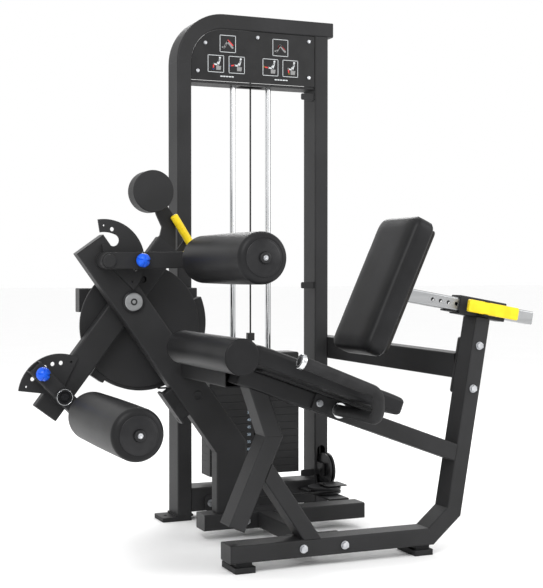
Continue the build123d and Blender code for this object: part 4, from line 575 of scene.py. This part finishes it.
# ---- Cables that change length --------------------------------------------------------------
def moving_cables():
    low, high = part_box("cable_stack_run")
    axis = Vector(((low.x + high.x) / 2, (low.y + high.y) / 2, low.z))
    radius = (high.x - low.x) / 2
    span = high.z - low.z
    points = [axis + Vector((0, 0, span * i / 16)) for i in range(17)]
    run = tube_along("stack_cable", points, radius, JACKET, "frame")
    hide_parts("cable_stack_run")
    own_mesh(run)
    low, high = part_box("cable_cam_run")
    middle_y, middle_z = (low.y + high.y) / 2, (low.z + high.z) / 2
    points = [Vector((high.x + (low.x - high.x) * i / 24, middle_y, middle_z)) for i in range(25)]
    cam = tube_along("cam_cable", points, radius, JACKET, "frame")
    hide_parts("cable_cam_run")
    cam.parent = None
    del cam["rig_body"]
    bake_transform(cam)


# ---- Labels and the placard's pictures ------------------------------------------------------
def flat_shape(name, outlines, material, y, body, thick=0.0004):
    """Thin printed shapes in the side view: each outline is a list of (x, z), facing the user."""
    built = bmesh.new()
    for outline in outlines:
        near = [built.verts.new((x, y - thick, z)) for x, z in outline]
        far = [built.verts.new((x, y, z)) for x, z in outline]
        count = len(near)
        built.faces.new(near)
        built.faces.new(list(reversed(far)))
        for i in range(count):
            built.faces.new([near[i], far[i], far[(i + 1) % count], near[(i + 1) % count]])
    bmesh.ops.recalc_face_normals(built, faces=built.faces)
    return finish_piece(name, built, material, body, smooth=False)


def bar(start, end, width, steps=6):
    """A round-ended bar between two points of the picture."""
    angle = atan2(end[1] - start[1], end[0] - start[0])
    points = []
    for (cx, cz), first in ((start, angle + pi / 2), (end, angle - pi / 2)):
        points += [(cx + width / 2 * cos(first + pi * i / steps),
                    cz + width / 2 * sin(first + pi * i / steps)) for i in range(steps + 1)]
    return points


def disc(centre, radius, steps=16):
    return [(centre[0] + radius * cos(2 * pi * i / steps), centre[1] + radius * sin(2 * pi * i / steps))
            for i in range(steps)]


def picture_frame(centre, size, line):
    """A rounded square line, as four bars."""
    half = size / 2
    corners = [(centre[0] + sx * half, centre[1] + sz * half)
               for sx, sz in ((-1, -1), (1, -1), (1, 1), (-1, 1))]
    return [bar(corners[i], corners[(i + 1) % 4], line) for i in range(4)]


def seated_figure(centre, size, shin_angle):
    """A generic seated figure facing left, whose shin's angle shows the move."""
    x, z = centre
    hip, knee = (x + 0.14 * size, z - 0.10 * size), (x - 0.14 * size, z - 0.06 * size)
    neck = (x + 0.24 * size, z + 0.20 * size)
    foot = (knee[0] + 0.28 * size * cos(shin_angle), knee[1] + 0.28 * size * sin(shin_angle))
    body = [bar(hip, neck, 0.11 * size), disc((neck[0] + 0.02 * size, neck[1] + 0.13 * size), 0.065 * size),
            bar(hip, knee, 0.09 * size),
            bar(neck, (hip[0] - 0.06 * size, hip[1] + 0.10 * size), 0.05 * size)]
    seat_block = [[(x + 0.02 * size, z - 0.40 * size), (x + 0.30 * size, z - 0.40 * size),
                   (x + 0.34 * size, z - 0.16 * size), (x + 0.02 * size, z - 0.16 * size)]]
    return body, seat_block, [bar(knee, foot, 0.075 * size)], [disc(foot, 0.05 * size)]


def placard_art():
    """Frames, generic leg pictures, seated figures and plain marks where the real sheet has words."""
    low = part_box("placard")[0]
    y = low.y - 0.0001
    x0, z0 = low.x, low.z
    line, big, small = 0.0018, 0.056, 0.056
    upper_z, lower_z, mark_z = z0 + 0.126, z0 + 0.057, z0 + 0.016
    groups = ((x0 + 0.1295, (x0 + 0.0866, x0 + 0.1618)), (x0 + 0.3227, (x0 + 0.2858, x0 + 0.3600)))
    white, grey, red, blue, yellow = [], [], [], [], []
    shin_angles = ((radians(-95), radians(-170)), (radians(175), radians(-80)))
    for number, (icon_x, figure_xs) in enumerate(groups):
        white += picture_frame((icon_x, upper_z), big, line)
        knee = (icon_x - 0.001, upper_z + 0.008)
        grey += [bar(knee, (icon_x + 0.017, upper_z - 0.012), 0.007),
                 bar(knee, (icon_x - 0.013, upper_z - 0.013), 0.006),
                 bar((icon_x - 0.013, upper_z - 0.013), (icon_x - 0.020, upper_z - 0.012), 0.004)]
        if number == 0:
            red += [bar((icon_x + 0.001, upper_z + 0.012), (icon_x + 0.018, upper_z - 0.004), 0.004),
                    bar((icon_x - 0.006, upper_z - 0.001), (icon_x - 0.010, upper_z - 0.008), 0.003)]
        else:
            red += [bar((icon_x - 0.004, upper_z + 0.006), (icon_x - 0.010, upper_z - 0.006), 0.004),
                    bar((icon_x + 0.004, upper_z + 0.006), (icon_x + 0.016, upper_z - 0.006), 0.003)]
        for figure_x, shin in zip(figure_xs, shin_angles[number]):
            white += picture_frame((figure_x, lower_z), small, line)
            person, block, shank, foot = seated_figure((figure_x, lower_z + 0.002), small, shin)
            white += person
            grey += block
            red += shank
            (blue if shin < radians(-90) else yellow).extend(foot)
        middle = sum(figure_xs) / 2
        white += [bar((middle - 0.020 + 0.010 * i, mark_z), (middle - 0.015 + 0.010 * i, mark_z), 0.004)
                  for i in range(5)]
    for name, outlines, ink in (("placard_lines", white, WHITE_INK), ("placard_blocks", grey, GREY_INK),
                                ("placard_muscles", red, RED_INK), ("placard_feet", blue, BLUE_INK),
                                ("placard_rollers", yellow, YELLOW_INK)):
        flat_shape(name, outlines, ink, y, "frame", thick=0.0004)


PLATES, PLATES_LIFTED, KILOS = 15, 5, 5
LABEL_X = -0.024     # from the plates' centre
LABEL_H = 0.013


def plate_labels():
    """A number on each weight plate's front edge, counted from the top plate."""
    low_rest, high_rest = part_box("resting_plates")
    high_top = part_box("lifted_plates")[1]
    pitch = (high_top.z - low_rest.z) / PLATES
    centre_x = (low_rest.x + high_rest.x) / 2
    for level in range(PLATES):
        body = "stack" if level >= PLATES - PLATES_LIFTED else "frame"
        text = bpy.data.curves.new(f"plate_label_{level}", "FONT")
        text.body = str(KILOS * (PLATES - level))
        text.size = LABEL_H
        text.align_x, text.align_y = "CENTER", "CENTER"
        text.extrude = 0.0002
        holder = bpy.data.objects.new("label_text", text)
        place = Vector((centre_x + LABEL_X, low_rest.y - 0.0003, low_rest.z + (level + 0.5) * pitch))
        holder.matrix_world = Matrix.Translation(place) @ Matrix.Rotation(pi / 2, 4, "X")
        mesh = bpy.data.meshes.new_from_object(holder)
        mesh.transform(holder.matrix_world)
        bpy.data.objects.remove(holder)
        mesh.materials.clear()
        mesh.materials.append(LABEL_INK)
        label = bpy.data.objects.new(f"plate_label_{level}", mesh)
        bpy.context.scene.collection.objects.link(label)
        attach(label, body)


# ---- Small details --------------------------------------------------------------------------
CAP_PROUD = 0.012    # the main axle's cap in front of the mast


def trims():
    """A ring and a washer at the main axle's cap, and a chrome ring at the lower pivot."""
    pivot = Vector(JOINTS["cam_turn"]["pos_m"])
    near = pivot.copy()
    near.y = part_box("mast")[0].y - CAP_PROUD
    ring = [(0.0, 0.0055), (-0.0012, 0.0065), (-0.0012, 0.0095), (0.0, 0.0105), (0.002, 0.0105),
            (0.002, 0.0055)]
    finish_piece("axle_ring", lathe(ring + ring[:1], near), BLACK_PLASTIC, "frame")
    washer = [(0.003, 0.0272), (0.003, 0.0325), (0.0076, 0.0325), (0.0079, 0.0315), (0.0079, 0.0276),
              (0.003, 0.0272)]
    finish_piece("axle_washer", lathe(washer, near), BLACK_PLASTIC, "frame")
    lower = Vector(JOINTS["lower_adjust"]["pos_m"])
    lower.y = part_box("lower_pivot")[0].y
    band = [(0.0002, 0.0225), (-0.0006, 0.0228), (-0.0006, 0.0236), (0.0002, 0.0239), (0.002, 0.0239),
            (0.002, 0.0225)]
    finish_piece("lower_pivot_ring", lathe(band + band[:1], lower), CHROME, "lever")


TIP_R, TIP_ROUND = 0.0205, 0.003
GRIP_AIM = Vector((-0.928, 0, 0.372))    # the way the two handles point


def handle_tips():
    """A dark insert with a pale ring in the end of each handle's chrome cap."""
    low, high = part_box("handle_chrome")
    inner = TIP_R - TIP_ROUND
    end_x = low.x + inner * GRIP_AIM.z + TIP_ROUND * (1 + GRIP_AIM.x)
    end_z = high.z + inner * GRIP_AIM.x - TIP_ROUND * (1 - GRIP_AIM.z)
    turn = Vector((0, 1, 0)).rotation_difference(-GRIP_AIM).to_matrix().to_4x4()
    for label, end_y in (("near", low.y + TIP_R), ("far", high.y - TIP_R)):
        place = Matrix.Translation((end_x, end_y, end_z)) @ turn
        insert = lathe([(0.002, 0.0), (-0.0006, 0.0), (-0.0006, 0.0118), (0.0, 0.0125), (0.002, 0.0125)],
                       Vector((0, 0, 0)), 48)
        band = [(0.002, 0.0130), (-0.0004, 0.0130), (-0.0004, 0.0146), (0.002, 0.0146), (0.002, 0.0130)]
        ring = lathe(band, Vector((0, 0, 0)), 48)
        insert.transform(place)
        ring.transform(place)
        finish_piece(f"handle_insert_{label}", insert, BLACK_PLASTIC, "frame")
        finish_piece(f"handle_ring_{label}", ring, SATIN, "frame")


PLUG_LEFT, PLUG_UP = 0.0526, 0.0355      # the mast's plug, from the guide pulley's axle


def mast_plug():
    """A round plastic plug in the mast's near wall."""
    mast_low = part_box("mast")[0]
    guide = Vector(JOINTS["guide_pulley_turn"]["pos_m"])
    centre = Vector((guide.x - PLUG_LEFT, mast_low.y, guide.z + PLUG_UP))
    rim = [(-0.0006, 0.0), (-0.0010, 0.0105), (-0.0016, 0.0125), (-0.0016, 0.0140), (-0.0002, 0.0150),
           (0.004, 0.0145), (0.004, 0.0)]
    finish_piece("mast_plug", lathe(rim, centre, 48), BLACK_PLASTIC, "frame")


# ---- Stage ----------------------------------------------------------------------------------
def studio():
    """A plain pale floor, a white world and soft lights."""
    bpy.ops.mesh.primitive_plane_add(size=120, location=(0, 0, -0.0005))
    floor = bpy.context.object
    floor.name = "studio_floor"
    material, tree, shader, coords = node_material("studio_white", (0.97, 0.97, 0.97), 0.9)
    texture = noise_texture(tree, coords, 2.0)
    vary_colour(tree, shader, texture, (0.965, 0.965, 0.965), (0.975, 0.975, 0.975))
    floor.data.materials.append(material)
    world = bpy.data.worlds.new("studio")
    bpy.context.scene.world = world
    world.use_nodes = True
    background = world.node_tree.nodes["Background"]
    background.inputs["Color"].default_value = (1, 1, 1, 1)
    background.inputs["Strength"].default_value = 1.0
    for name, place, aim, size, power in (
            ("key", (-2.6, -3.2, 3.6), (0, 0, 0.8), 2.4, 140.0),
            ("fill", (3.0, -2.4, 2.2), (0.2, 0, 0.7), 2.2, 50.0),
            ("rim", (1.2, 3.2, 3.0), (0, 0.2, 0.9), 2.0, 70.0)):
        light = bpy.data.lights.new(name, "AREA")
        light.size = size
        light.energy = power
        lamp = bpy.data.objects.new(name, light)
        lamp.location = place
        lamp.rotation_euler = (Vector(aim) - Vector(place)).to_track_quat("-Z", "Y").to_euler()
        bpy.context.scene.collection.objects.link(lamp)
    scene = bpy.context.scene
    scene.view_settings.view_transform = "Standard"
    scene.view_settings.look = "None"


CAMERA_AT = (-1.4802, -3.44415, 0.8328)
CAMERA_YAW, CAMERA_PITCH, CAMERA_LENS = 23.05, -1.03, 75.83


def camera():
    data = bpy.data.cameras.new("camera")
    data.lens = CAMERA_LENS
    data.sensor_width = 36.0
    data.clip_end = 200.0
    rig = bpy.data.objects.new("camera", data)
    rig.location = CAMERA_AT
    rig.rotation_euler = (radians(90 + CAMERA_PITCH), 0, radians(-CAMERA_YAW))
    bpy.context.scene.collection.objects.link(rig)
    bpy.context.scene.camera = rig


paint_nodes()
paint_details()
backrest()
seat()
roller("lower", "lower_roller")
roller("upper", "upper_roller")
roller_bolt("lower", "lower_bracket")
roller_bolt("upper", "thigh_arm")
pull_knob("lower")
pull_knob("upper")
moving_cables()
placard_art()
plate_labels()
trims()
handle_tips()
mast_plug()
studio()
camera()
